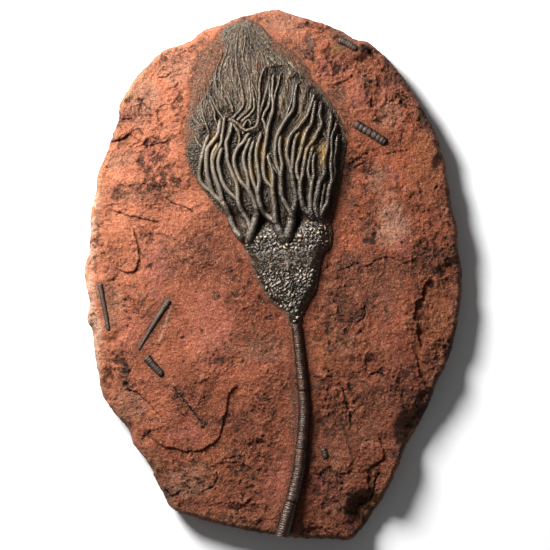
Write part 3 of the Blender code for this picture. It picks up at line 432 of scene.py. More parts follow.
# Stained patches of each kind: (strength, across, down, half width, half height).
PATCHES = {
    "pale": [
        (0.7, 392, 222, 17, 26), (0.5, 388, 112, 14, 18), (0.5, 378, 178, 12, 16), (0.6, 192, 480, 24, 20),
        (0.4, 128, 405, 18, 18), (0.5, 120, 160, 16, 10), (0.6, 140, 98, 20, 26), (0.5, 176, 66, 22, 18),
        (0.5, 285, 24, 24, 10), (0.4, 110, 300, 14, 26), (0.4, 340, 345, 18, 12), (0.3, 262, 350, 18, 14),
    ],
    "pink": [
        (0.8, 358, 102, 12, 16), (0.8, 330, 68, 16, 12), (0.9, 156, 268, 12, 30), (0.7, 128, 118, 12, 6),
        (0.7, 152, 156, 14, 10), (0.7, 402, 248, 10, 8), (0.5, 388, 84, 14, 14), (0.6, 186, 434, 20, 9),
        (0.5, 140, 332, 16, 24), (0.5, 326, 490, 26, 18), (0.4, 398, 372, 16, 12), (0.5, 210, 330, 26, 40),
        (0.5, 304, 46, 12, 6), (0.5, 264, 480, 34, 26), (0.5, 392, 176, 8, 10),
    ],
    "silt": [
        (0.45, 168, 258, 9, 30), (0.60, 130, 190, 34, 9), (0.45, 282, 54, 18, 12), (0.35, 204, 84, 13, 36),
        (0.85, 124, 376, 6, 11), (0.85, 310, 40, 7, 9), (0.7, 336, 36, 15, 5), (0.70, 366, 49, 15, 6),
        (0.55, 345, 45, 14, 6), (0.7, 366, 78, 12, 7), (0.85, 205, 424, 5, 4), (0.8, 367, 228, 9, 12),
        (0.6, 316, 385, 5, 9), (0.55, 180, 400, 9, 13), (0.45, 382, 308, 12, 14), (0.5, 358, 316, 6, 5),
        (0.55, 294, 405, 4, 34), (0.4, 340, 150, 10, 16), (0.35, 350, 262, 16, 12), (0.45, 336, 92, 10, 12),
        (0.35, 180, 250, 34, 18), (0.3, 330, 236, 10, 14), (0.9, 244, 17, 9, 4), (0.7, 228, 22, 6, 4),
    ],
    "orange": [
        (0.8, 428, 150, 20, 46), (0.6, 372, 206, 8, 14), (0.7, 434, 320, 20, 36), (0.6, 116, 246, 18, 22),
        (0.5, 222, 470, 40, 30), (0.5, 330, 350, 26, 30),
    ],
    "brown": [
        (0.75, 405, 432, 14, 34), (0.55, 350, 430, 34, 20), (0.7, 352, 506, 22, 16),
        (0.95, 203, 75, 15, 44), (0.85, 338, 112, 17, 36), (0.75, 345, 172, 13, 42),
        (0.50, 375, 280, 32, 28), (0.45, 340, 300, 26, 44), (0.45, 255, 345, 30, 22),
        (0.35, 144, 196, 46, 9), (0.40, 362, 62, 32, 9), (0.35, 425, 262, 30, 14), (0.40, 232, 232, 12, 26),
        (0.85, 290, 50, 24, 16), (0.5, 332, 450, 18, 40), (0.40, 374, 398, 26, 18),
        (0.30, 215, 250, 26, 30), (0.35, 285, 16, 40, 8),
    ],
    "ochre": [
        (0.8, 337, 49, 7, 4), (0.5, 372, 506, 12, 14), (0.4, 412, 438, 8, 22), (0.15, 116, 306, 5, 12),
        (0.15, 124, 216, 16, 6),
    ],
    "cream": [
        (0.55, 94, 340, 7, 46),
    ],
    "soot": [
        (0.6, 244, 15, 9, 4), (0.75, 370, 240, 7, 5), (0.8, 362, 50, 6, 3), (0.8, 312, 56, 5, 5),
        (0.7, 126, 372, 4, 8), (0.6, 336, 38, 8, 3), (0.6, 424, 112, 5, 4),
    ],
}
# Stained lines: (kind, strength, half width in millimetres, line).
TRACES = [
    ("silt", 0.75, 2.4, [(161, 374), (174, 389), (192, 410), (205, 424)]),
    ("silt", 0.60, 3.0, [(134, 283), (141, 297), (148, 313)]),
    ("cream", 0.60, 0.9, [(171, 307), (167, 319), (162, 334), (159, 341)]),
    ("soot", 0.80, 1.5, [(340.3, 416.7), (347, 440), (351.2, 454.2)]),
    # Painted shade: the next band darkens the broken cliff along the lower-right rim.
    ("soot", 0.85, 4.5, [(429, 407), (418, 417), (408, 429), (401, 442), (395, 458)]),
    ("soot", 0.80, 4.0, [(372, 488), (368, 500), (358, 510), (350, 514)]),
    # Painted shadow: the next thin dark line lies just outside the calyx's right edge.
    ("soot", 0.35, 1.6, [(331, 250), (322, 272), (317, 292), (308, 308)]),
    ("brown", 0.6, 4.0, [(293, 372), (294, 400), (293, 436)]),
]
# Broad deeper red areas: (strength, how ragged, [(across, down, half width, half height), ...]).
DEEP_SPOTS = [
    (0.65, 0.25, [(375, 285, 55, 55)]),
    (0.80, 0.12, [(212, 285, 62, 70), (190, 425, 40, 26)]),
]
# More soft spots, each (across, down, half width, half height): where the face is worn smoother; where the
# fossil is stained ochre; the mat's red spot; where the arms' lower ends dive under the knobs of the calyx;
# where a painted highlight lies on the arms; and painted shade on the calyx's lower right.
WORN_SPOTS = [(190, 310, 75, 95), (400, 215, 42, 42)]
GOLD_SPOTS = [
    (262, 154, 5, 14), (270, 173, 5, 12), (284, 149, 5, 13), (303, 145, 6, 24), (314, 138, 8, 13),
    (324, 154, 5, 14), (214, 143, 5, 11), (252, 170, 4, 10), (238, 178, 4, 9),
]
RED_SPOTS = [(258, 66, 5, 4)]
BURIED = [(319, 226, 12, 13), (246, 243, 7, 7), (284, 246, 8, 6)]
PAINTED_HIGHLIGHT_SPOTS = [(209, 158, 4, 13), (213, 186, 5, 9)]
CALYX_PAINTED_SHADE = [(303, 297, 13, 10)]
# The mat's left and right edges where only fine strands cover it: distances down, then across.
MAT_LEFT = ((22, 30, 40, 50, 62, 78, 92, 108), (236, 224, 217, 208, 200, 195, 192, 189))
MAT_RIGHT = ((22, 30, 40, 50, 62, 78, 92, 108), (256, 266, 276, 290, 303, 312, 323, 334))
# Scars where the rim has broken away: (across, down, radius, depth), in millimetres.
CHIPS = [
    (424, 432, 32, 12), (368, 512, 25, 11), (430, 402, 16, 5), (100, 392, 16, 5), (150, 480, 15, 4),
    (160, 505, 18, 5), (86, 232, 26, 4), (108, 142, 10, 4), (455, 275, 20, 4), (445, 350, 16, 3),
    (375, 46, 13, 5), (200, 30, 12, 4), (126, 433, 13, 6), (310, 541, 20, 4), (445, 165, 14, 4),
]


# ---------------------------------------------------------------- plan geometry, in numpy

def plan(points):
    """Points of the drawing as rows of (x, y) in metres."""
    rows = np.asarray(points, float).reshape(-1, 2)
    return np.column_stack([rows[:, 0] - DRAWING_CENTRE[0], DRAWING_CENTRE[1] - rows[:, 1]]) * MM


def drawn(points):
    """How far across and how far down the drawing the points lie, in millimetres."""
    return points[..., 0] / MM + DRAWING_CENTRE[0], DRAWING_CENTRE[1] - points[..., 1] / MM


def smooth(t):
    """0 up to t = 0, 1 from t = 1, and an easy curve between."""
    t = np.clip(t, 0.0, 1.0)
    return t * t * (3 - 2 * t)


def unit(vectors):
    """The vectors at length 1; one of no length stays so."""
    return vectors / np.maximum(np.linalg.norm(vectors, axis=-1, keepdims=True), 1e-12)


def rightward(directions):
    """Plan directions turned a quarter to the right."""
    return np.column_stack([directions[:, 1], -directions[:, 0]])


def through(points, spacing, closed=False):
    """A curve through the points, resampled at this spacing."""
    p = np.asarray(points, float)
    if closed:
        ends = np.vstack([p[-1:], p, p[:2]])
    else:
        ends = np.vstack([2 * p[0] - p[1], p, 2 * p[-1] - p[-2]])
    t = np.linspace(0, 1, CURVE_PARTS, endpoint=False)[:, None]
    spans = []
    for a, b, c, d in zip(ends, ends[1:], ends[2:], ends[3:]):
        spans.append(0.5 * (2 * b + (c - a) * t + (2 * a - 5 * b + 4 * c - d) * t * t
                            + (3 * b - a - 3 * c + d) * t ** 3))
    curve = np.vstack(spans + [p[:1] if closed else p[-1:]])
    run = np.concatenate([[0], np.cumsum(np.linalg.norm(np.diff(curve, axis=0), axis=1))])
    count = max(2, round(run[-1] / spacing)) + 1
    at = np.linspace(0, run[-1], count)[:-1 if closed else None]
    return np.column_stack([np.interp(at, run, curve[:, k]) for k in range(curve.shape[1])])


def line_distance(points, line):
    """Distance from each point to an open line, positive on the left of it as it is followed."""
    best = np.full(len(points), np.inf)
    side = np.ones(len(points))
    for a, b in zip(line, line[1:]):
        along = b - a
        t = np.clip((points - a) @ along / max(along @ along, 1e-18), 0, 1)
        away = points - (a + t[:, None] * along)
        distance = np.hypot(away[:, 0], away[:, 1])
        nearer = distance < best
        best[nearer] = distance[nearer]
        side[nearer] = np.where(along[0] * away[nearer, 1] - along[1] * away[nearer, 0] > 0, 1, -1)
    return best * side


def ring_distance(points, ring):
    """Distance from each point to a closed line, positive inside it."""
    closed = np.vstack([ring, ring[:1]])
    nearest = np.abs(line_distance(points, closed))
    inside = np.zeros(len(points), bool)
    for a, b in zip(closed, closed[1:]):
        if a[1] == b[1]:
            continue
        crosses = (a[1] > points[:, 1]) != (b[1] > points[:, 1])
        inside ^= crosses & (points[:, 0] < a[0] + (points[:, 1] - a[1]) / (b[1] - a[1]) * (b[0] - a[0]))
    return np.where(inside, nearest, -nearest)


def disc_distance(points, x, y, radius):
    """Distance from a point of the drawing, as a share of a radius in millimetres."""
    return np.linalg.norm(points - plan((x, y)), axis=1) / (radius * MM)


def spots_at(points, spots):
    """Soft round patches, 1 in their middles: (across, down, half width, half height) each."""
    x, y = drawn(points)
    total = np.zeros(len(points))
    for cx, cy, rx, ry in spots:
        total = np.maximum(total, np.exp(-((x - cx) / rx) ** 2 - ((y - cy) / ry) ** 2))
    return total


def near_box(points, line, reach):
    """Which points lie in the box round a line, widened by reach."""
    low, high = line.min(0) - reach, line.max(0) + reach
    return ((points > low) & (points < high)).all(1)


def near_lines(points, lines, reach):
    """Which points lie within reach of any of the lines."""
    near = np.zeros(len(points), bool)
    for line in lines:
        close = np.flatnonzero(near_box(points, line, reach) & ~near)
        near[close] = np.abs(line_distance(points[close], line)) < reach
    return near


def moved_in(ring, distance):
    """The clockwise ring moved inwards; distance may differ from point to point."""
    along = unit(np.roll(ring, -4, 0) - np.roll(ring, 4, 0))
    return ring + rightward(along) * np.reshape(distance, (-1, 1))


# ---------------------------------------------------------------- repeatable noise, in numpy

def random_at(ix, iy, seed):
    """A repeatable random number from 0 to 1 for each pair of whole numbers, by mixing their bits."""
    n = (ix.astype(np.int64) * 374761393 + iy.astype(np.int64) * 668265263 + seed * 974711) & 0x7FFFFFFF
    n = ((n ^ (n >> 13)) * 1274126177) & 0x7FFFFFFF
    return ((n ^ (n >> 16)) & 0xFFFF) / 65535.0


def lumps(points, size, seed):
    """Smooth noise from about -1 to 1, with lumps of this size. size may differ along x and y."""
    p = points / np.asarray(size)
    cell = np.floor(p).astype(np.int64)
    f = p - cell
    ease = f ** 3 * (f * (f * 6 - 15) + 10)
    total = 0
    for dx in (0, 1):
        for dy in (0, 1):
            turn = 2 * math.pi * random_at(cell[:, 0] + dx, cell[:, 1] + dy, seed)
            slope = np.cos(turn) * (f[:, 0] - dx) + np.sin(turn) * (f[:, 1] - dy)
            weight = (ease[:, 0] if dx else 1 - ease[:, 0]) * (ease[:, 1] if dy else 1 - ease[:, 1])
            total = total + slope * weight
    return total * 1.5


def layered(points, size, seed, octaves=4, keep=0.55):
    """Noise with ever finer lumps on it, each octave at this share of the one before."""
    total, strength = 0, 1.0
    for k in range(octaves):
        total = total + strength * lumps(points, np.asarray(size) / 2 ** k, seed + 17 * k)
        strength *= keep
    return total


def cells(points, size, seed):
    """Worley cells: distance to the nearest seed and to the second, the cell's number 0..1, and the way from
    the nearest seed."""
    p = points / size
    base = np.floor(p).astype(np.int64)
    nearest = np.full(len(p), 9.0)
    second = np.full(len(p), 9.0)
    number = np.zeros(len(p))
    offset = np.zeros((len(p), 2))
    for dx in (-1, 0, 1):
        for dy in (-1, 0, 1):
            ix, iy = base[:, 0] + dx, base[:, 1] + dy
            seeds = np.column_stack([ix + random_at(ix, iy, seed), iy + random_at(ix, iy, seed + 5)])
            away = p - seeds
            distance = np.hypot(away[:, 0], away[:, 1])
            closer = distance < nearest
            second = np.where(closer, nearest, np.minimum(second, distance))
            number = np.where(closer, random_at(ix, iy, seed + 9), number)
            offset = np.where(closer[:, None], away, offset)
            nearest = np.minimum(nearest, distance)
    return nearest, second, number, offset


def warped(points, size, amount, seed):
    """The points shifted about by noise."""
    return points + amount * np.column_stack([layered(points, size, s, 2) for s in (seed, seed + 1)])


def plates(points, size, seed, tilt=0.8):
    """Flat flakes of broken stone, each at its own height and tilt, from about -1 to 1."""
    _, _, number, offset = cells(warped(points, size * 0.6, size * 0.45, seed), size, seed + 3)
    turn = 2 * math.pi * ((number * 57) % 1)
    return 1.4 * (number - 0.5) + tilt * (offset[:, 0] * np.cos(turn) + offset[:, 1] * np.sin(turn))


def solid_noise(points, size, level):
    """Blender's own noise in a flat slice, the same that shapes the CAD slab."""
    return np.array([noise.noise(Vector((x / size, y / size, level))) for x, y in points])


# ---------------------------------------------------------------- meshes

def new_object(name, points, faces, values):
    """A smooth mesh from points, arrays of faces with equal numbers of corners, and point attributes, each
    one number or one for each point."""
    mesh = bpy.data.meshes.new(name)
    loops = np.concatenate([f.ravel() for f in faces]).astype(np.int32)
    sizes = np.concatenate([np.full(len(f), f.shape[1]) for f in faces])
    mesh.vertices.add(len(points))
    mesh.vertices.foreach_set("co", np.asarray(points, np.float32).ravel())
    mesh.loops.add(len(loops))
    mesh.loops.foreach_set("vertex_index", loops)
    mesh.polygons.add(len(sizes))
    mesh.polygons.foreach_set("loop_start", np.concatenate([[0], np.cumsum(sizes)[:-1]]).astype(np.int32))
    mesh.polygons.foreach_set("use_smooth", np.ones(len(sizes), bool))
    for key, value in values.items():
        layer = mesh.attributes.new(key, "FLOAT", "POINT")
        layer.data.foreach_set("value", np.full(len(points), value, np.float32))
    mesh.update(calc_edges=True)
    mesh.validate()
    made = bpy.data.objects.new(name, mesh)
    bpy.context.scene.collection.objects.link(made)
    return made


class Pile:
    """Collects shapes that become one mesh."""

    def __init__(self):
        self.points, self.faces, self.values, self.total = [], [], {}, 0

    def add(self, points, faces, **values):
        self.points.append(points)
        self.faces += [f + self.total for f in faces]
        for key, value in values.items():
            self.values.setdefault(key, []).append(np.broadcast_to(value, len(points)))
        self.total += len(points)

    def build(self, name):
        groups = {}
        for f in self.faces:
            groups.setdefault(f.shape[1], []).append(f)
        faces = [np.concatenate(g) for g in groups.values()]
        values = {key: np.concatenate(v) for key, v in self.values.items()}
        return new_object(name, np.concatenate(self.points), faces, values)


def placed(made, look, node_name):
    """Gives a finished piece its look and stands it in for the frame's node of this name."""
    made.data.materials.append(look)
    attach(made, "root")
    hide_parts(node_name)


def tubes(paths, radii, sides):
    """Closed tubes along many paths of shape (tubes, points, 3). Returns points, faces and each point's
    crest: 1 along the top and -1 underneath."""
    count, steps = paths.shape[:2]
    along = unit(np.gradient(paths, axis=1))
    right = unit(np.cross(along, (0.0, 0.0, 1.0)))
    over = np.cross(right, along)
    angle = 2 * math.pi * (np.arange(sides) + 0.5) / sides
    ring = np.cos(angle)[:, None] * right[:, :, None, :] + np.sin(angle)[:, None] * over[:, :, None, :]
    points = paths[:, :, None, :] + radii[:, :, None, None] * ring
    index = np.arange(count * steps * sides).reshape(count, steps, sides)
    turned = np.roll(index, -1, axis=2)
    walls = np.stack([index[:, :-1], index[:, 1:], turned[:, 1:], turned[:, :-1]], -1).reshape(-1, 4)
    caps = np.concatenate([index[:, 0], index[:, -1, ::-1]])
    crest = np.broadcast_to(np.sin(angle), (count, steps, sides)).ravel()
    return points.reshape(-1, 3), [walls, caps], crest


def spread(spacing, ring, margin):
    """A honeycomb of slightly shaken points inside the ring, no nearer to it than the margin."""
    low, high = ring.min(0), ring.max(0)
    ys = np.arange(low[1], high[1], spacing * math.sqrt(3) / 2)
    xs = np.arange(low[0], high[0], spacing)
    grid = np.array([(x + (k % 2) * spacing / 2, y) for k, y in enumerate(ys) for x in xs])
    cell = np.round(grid / spacing * 2).astype(np.int64)
    shake = np.column_stack([random_at(cell[:, 0], cell[:, 1], s) - 0.5 for s in (3, 4)])
    grid = grid + shake * spacing * 0.4
    sparse = ring[::max(1, len(ring) // 120)]
    return grid[ring_distance(grid, sparse) > margin]


def triangulated(ring, points):
    """Triangles over the ring through the points. Returns all plan points, ring first, and the triangles."""
    corners = [Vector(p) for p in ring] + [Vector(p) for p in points]
    places, _, faces, *_ = delaunay_2d_cdt(corners, [], [list(range(len(ring)))], 1, 1e-7)
    flat = np.array(places)
    faces = np.array(faces)
    a, b, c = flat[faces[:, 0]], flat[faces[:, 1]], flat[faces[:, 2]]
    turn = (b - a)[:, 0] * (c - a)[:, 1] - (b - a)[:, 1] * (c - a)[:, 0]
    faces[turn < 0] = faces[turn < 0][:, ::-1]
    return flat, faces


def wall(upper, lower):
    """Four-sided faces between two closed rows of point numbers."""
    return np.column_stack([upper, np.roll(upper, -1), np.roll(lower, -1), lower])


def closed_under(flat, height, ring, triangles):
    """A crust over the plan points, with walls down into the stone and an underside: points and faces."""
    below = np.column_stack([ring, np.full(len(ring), BED - SINK)])
    points = np.vstack([np.column_stack([flat, height]), below])
    upper = np.arange(len(ring))
    lower = len(flat) + upper
    return points, [triangles, wall(upper, lower), lower[None, ::-1]]


# ---------------------------------------------------------------- heights

MAT_RING = plan(MAT_OUTLINE)
CALYX_RING = through(plan(CALYX_OUTLINE), 0.003, closed=True)


def crown_height(points):
    """Height of the crown's rounded back over the bed: the mat's and the calyx's surface."""
    down = drawn(points)[1]
    rows, tops, shoulders = np.transpose(CROWN_PROFILE)
    shoulder = np.interp(down, rows, shoulders) * MM
    rise = smooth(0.12 + ring_distance(points, plan(CROWN_OUTLINE)) / shoulder)
    rise = rise ** (1 - 0.3 * smooth((down - 225) / 20))
    height = MAT_EDGE + (np.interp(down, rows, tops) * MM - MAT_EDGE) * rise
    for x, y, radius, depth in RAY_GAPS:
        height -= depth * MM * np.exp(-disc_distance(points, x, y, radius) ** 2)
    return np.maximum(height, MAT_EDGE)


def fossil_distance(points):
    """How far each point lies outside every fossil's footprint; nothing or less inside one."""
    best = np.minimum(-ring_distance(points, MAT_RING), -ring_distance(points, CALYX_RING))
    best = np.minimum(best, np.abs(line_distance(points, plan(STEM_ROUTE))) - STEM_RADII[1] * MM)
    for _, start, _, _, route in FRAGMENTS:
        best = np.minimum(best, np.abs(line_distance(points, plan(route))) - start * MM)
    return best


def past_ends(points, line, away):
    """How far each point lies beyond the nearer end of a line that it is this far away from."""
    past = np.zeros(len(points))
    for end, before in ((line[0], line[1]), (line[-1], line[-2])):
        off = points - end
        at_end = np.hypot(off[:, 0], off[:, 1]) <= np.abs(away) + 1e-9
        past = np.where(at_end, off @ unit(end - before), past)
    return np.maximum(past, 0)


def dropped(points, line, drop, run, blur=0.0010):
    """How far the rock falls to the left of a broken edge, in metres. drop and run are in millimetres."""
    line = through(plan(line), LINE_STEP)
    fall = np.zeros(len(points))
    close = np.flatnonzero(near_box(points, line, 2.5 * run * MM))
    away = line_distance(points[close], line)
    past = past_ends(points[close], line, away)
    side = smooth(away / blur) * np.exp(-(np.maximum(away, 0) / (run * MM)) ** 2)
    fall[close] = drop * MM * side * np.exp(-(past / 0.007) ** 2)
    return fall


def broad_height(points, inside, clear):
    """The face's broad form, in metres over the bed: the CAD slab's, with the smaller steps in it."""
    height = -EDGE_FALL * (1 - smooth(inside / EDGE_RUN))
    for size, swing in ((0.060, 0.0022), (0.022, 0.0011)):
        height += swing * solid_noise(points, size, 3.7)
    ragged = warped(points, 0.007, 0.0011, 83)
    for drop, run, line in LEDGES + STEPS:
        height -= dropped(ragged, line, drop, run)
    height *= smooth((clear - 0.001) / 0.010)
    for x, y, radius, depth in CHIPS:
        height -= depth * MM * (1 - smooth((disc_distance(ragged, x, y, radius) - 0.45) / 0.55))
    return height - RIM_DROP * (1 - smooth(inside / RIM_INSET)) ** 2


def stone_marks(points):
    """The cracks and the dark granules, which are pits too: their depths, below zero."""
    marks = np.zeros(len(points))
    ragged = warped(points, 0.004, 0.0008, 81)
    for depth, line in CRACKS:
        line = through(plan(line), LINE_STEP)
        close = np.flatnonzero(near_box(ragged, line, 0.003))
        away = np.abs(line_distance(ragged[close], line))
        marks[close] = np.minimum(marks[close], -depth * MM * (1 - smooth(away / 0.0013)))
    for x, y, radius in SPOTS:
        away = disc_distance(ragged, x, y, radius)
        marks = np.minimum(marks, -0.0011 * (1 - smooth((away - 0.45) / 0.45)))
    return marks


def fine_height(points, clear):
    """The stone's flakes, grains and pits, calmer beside the fossils, and how rough it is: about 0.3 to 1.1.
    Two areas of the face are worn smoother."""
    worn = spots_at(points, WORN_SPOTS)
    rough = (0.70 + 0.8 * smooth(0.5 + 1.2 * lumps(points, 0.045, 61))) * (1 - 0.45 * worn)
    flakes = 0.00060 * plates(points, 0.030, 41) + 0.00055 * plates(points, 0.0100, 45)
    grains = 0.00070 * layered(warped(points, 0.009, 0.0013, 57), 0.0075, 51, 3, 0.85)
    near, _, number, _ = cells(warped(points, 0.003, 0.0008, 73), 0.0064, 71)
    pits = -0.0008 * (number > 0.86) * smooth(1 - near / (0.08 + 0.25 * number ** 4))
    calm = 0.45 + 0.55 * smooth((clear - 0.001) / 0.008)
    return ((flakes + grains) * rough + pits) * calm, rough / 1.35


# ---------------------------------------------------------------- materials

def shader_tree(name, roughness, specular):
    """A new material, its node tree and its Principled shader."""
    made = bpy.data.materials.new(name)
    made.use_nodes = True
    tree = made.node_tree
    shader = tree.nodes["Principled BSDF"]
    shader.inputs["Roughness"].default_value = roughness
    shader.inputs["Specular IOR Level"].default_value = specular
    return made, tree, shader


def textured(tree, kind, scale):
    """A texture node of this kind in object space."""
    place = tree.nodes.new("ShaderNodeTexCoord").outputs["Object"]
    made = tree.nodes.new(kind)
    made.inputs["Scale"].default_value = scale
    tree.links.new(place, made.inputs["Vector"])
    return made


def noise_value(tree, scale, detail, rough):
    """A noise texture; returns its value socket."""
    made = textured(tree, "ShaderNodeTexNoise", scale)
    made.inputs["Detail"].default_value = detail
    made.inputs["Roughness"].default_value = rough
    return made.outputs["Fac"]


def attribute(tree, name):
    """The value socket of a point attribute."""
    made = tree.nodes.new("ShaderNodeAttribute")
    made.attribute_name = name
    return made.outputs["Fac"]


def ranged(tree, value, low, high, to_low=0.0, to_high=1.0):
    """The value stretched so that low..high becomes to_low..to_high, and held there."""
    made = tree.nodes.new("ShaderNodeMapRange")
    made.clamp = True
    tree.links.new(value, made.inputs["Value"])
    for key, number in (("From Min", low), ("From Max", high), ("To Min", to_low), ("To Max", to_high)):
        made.inputs[key].default_value = number
    return made.outputs["Result"]


def maths(tree, operation, a, b):
    """Adds or multiplies two sockets."""
    made = tree.nodes.new("ShaderNodeMath")
    made.operation = operation
    for socket, value in zip(made.inputs, (a, b)):
        tree.links.new(value, socket)
    return made.outputs[0]


def mixed(tree, amount, first, second):
    """Mixes two colours, each a tuple or a socket, by a number or a socket."""
    made = tree.nodes.new("ShaderNodeMix")
    made.data_type = "RGBA"
    for socket, value in ((made.inputs[0], amount), (made.inputs[6], first), (made.inputs[7], second)):
        if isinstance(value, tuple):
            socket.default_value = (*value, 1.0)
        elif isinstance(value, float):
            socket.default_value = value
        else:
            tree.links.new(value, socket)
    return made.outputs[2]


def layers(tree, colour, coats):
    """The colour with each (amount, coat) laid over it in turn."""
    for amount, coat in coats:
        colour = mixed(tree, amount, colour, coat)
    return colour


def bumped(tree, shader, heights):
    """Feeds the shader's normal from a chain of (height socket, strength, distance) bumps."""
    normal = None
    for height, strength, distance in heights:
        made = tree.nodes.new("ShaderNodeBump")
        made.inputs["Strength"].default_value = strength
        made.inputs["Distance"].default_value = distance
        tree.links.new(height, made.inputs["Height"])
        if normal is not None:
            tree.links.new(normal, made.inputs["Normal"])
        normal = made.outputs["Normal"]
    tree.links.new(normal, shader.inputs["Normal"])


def stone_material():
    """Iron-stained limestone: salmon to deep red, stained in soft patches, with a sandpaper grain, a painted
    highlight on its raised grains and painted shade in its small hollows.
    """
    made, tree, shader = shader_tree("red_limestone_face", 0.75, 0.20)
    broad = noise_value(tree, 26, 5, 0.6)
    middle = noise_value(tree, 150, 5, 0.7)
    fine = noise_value(tree, 620, 4, 0.65)
    grit = noise_value(tree, 1300, 2, 0.6)
    colour = layers(tree, SALMON, [
        (attribute(tree, "warm"), ORANGE),
        (attribute(tree, "deep"), DEEP),
        (ranged(tree, broad, 0.50, 0.75, 0.0, 0.45), DEEP),
        *((attribute(tree, kind), STAINS[kind]) for kind in STAINS if kind != "soot"),
        (ranged(tree, middle, 0.54, 0.74, 0.0, 0.25), DUST),
        (ranged(tree, middle, 0.46, 0.28, 0.0, 0.35), UMBER),
    ])
    # Painted highlight: the raised grains of the fine relief are paled towards dust colour.
    colour = mixed(tree, attribute(tree, "crest"), colour, mixed(tree, 0.35, colour, DUST))
    colour = layers(tree, colour, [
        # Painted shade: the small hollows of the fine relief are darkened with umber.
        (attribute(tree, "painted_shade_hollow"), UMBER),
        (ranged(tree, fine, 0.53, 0.70, 0.0, 0.45), DUST),
        (ranged(tree, fine, 0.46, 0.32, 0.0, 0.75), UMBER),
        (ranged(tree, noise_value(tree, 850, 2, 0.5), 0.62, 0.72, 0.0, 0.6), FLECK),
        (attribute(tree, "soot"), STAINS["soot"]),
    ])
    tree.links.new(colour, shader.inputs["Base Color"])
    rough = attribute(tree, "rough")
    sandy = noise_value(tree, 330, 3, 0.6)
    relief = [(maths(tree, "MULTIPLY", height, rough), 1.0, reach)
              for height, reach in ((middle, 0.0050), (sandy, 0.0050), (fine, 0.0030))]
    bumped(tree, shader, relief + [(grit, 0.8, 0.0008)])
    return made


def granules(tree, scale):
    """Rounded grains packed together: their domes at brightnesses of their own, and the bare domes, each 1 in
    the middle and 0 between grains."""
    made = textured(tree, "ShaderNodeTexVoronoi", scale)
    parts = tree.nodes.new("ShaderNodeSeparateColor")
    tree.links.new(made.outputs["Color"], parts.inputs["Color"])
    dome = ranged(tree, made.outputs["Distance"], 0.55, 0.10)
    return maths(tree, "MULTIPLY", dome, ranged(tree, parts.outputs["Red"], 0.1, 0.9, 0.15, 1.0)), dome


def fossil_material(name, dark, light, roughness, specular, grain=1.0, soil=0.5, coated=False):
    """Glossy calcite, granular where its mask says so, stained gold and dusted with soil. Its crest attribute
    carries painted highlight on the tops and painted shade underneath and in the gaps, with its tone. A
    coated one is covered with dull brown stone where its rust says so."""
    made, tree, shader = shader_tree(name, roughness, specular)
    shader.inputs["Specular Tint"].default_value = (*GLINT, 1.0)
    broad = noise_value(tree, 75, 4, 0.6)
    fine = noise_value(tree, 620, 4, 0.65)
    bright, dome = granules(tree, 430)
    mask = attribute(tree, "granular")
    speckled = maths(tree, "MULTIPLY", ranged(tree, bright, 0.05, 0.70, -0.9, 1.3), mask)
    # The crest attribute brings painted highlight and painted shade in along with the calcite's own tone.
    worn = maths(tree, "ADD", ranged(tree, fine, 0.30, 0.72, -0.35, 0.35), attribute(tree, "crest"))
    worn = maths(tree, "ADD", worn, speckled)
    gilt = maths(tree, "MULTIPLY", attribute(tree, "gold"), ranged(tree, broad, 0.35, 0.62))
    dirt = ranged(tree, noise_value(tree, 160, 4, 0.7), 0.50, 0.68, 0.0, soil)
    colour = mixed(tree, ranged(tree, worn, 0.0, 1.15), dark, light)
    colour = layers(tree, colour, [(gilt, GOLD), (dirt, SOIL)])
    if coated:
        rust = attribute(tree, "rust")
        coat = mixed(tree, ranged(tree, fine, 0.40, 0.61), COAT_DARK, COAT_LIGHT)
        colour = mixed(tree, rust, colour, coat)
        tree.links.new(ranged(tree, rust, 0, 1, roughness, 0.95), shader.inputs["Roughness"])
    tree.links.new(colour, shader.inputs["Base Color"])
    relief = maths(tree, "MULTIPLY", dome, mask)
    bumped(tree, shader, [(relief, 1.0, 0.0014 * grain), (fine, 1.0, 0.0012 * grain)])
    return made


# ---------------------------------------------------------------- the stone

def slab_outline():
    """The slab's outline, with small chips out of it, filling its stated width and height."""
    ring = through(plan(SLAB_OUTLINE), FACE_SPACING, closed=True)
    along = unit(np.roll(ring, -1, 0) - np.roll(ring, 1, 0))
    bite = 0.0009 * np.maximum(layered(ring, 0.013, 91, 3), -0.2) + 0.0003 * lumps(ring, 0.004, 95)
    ring = ring + rightward(along) * bite[:, None]
    low, high = ring.min(0), ring.max(0)
    return (ring - (low + high) / 2) * np.array([SLAB_WIDTH, SLAB_HEIGHT]) / (high - low)


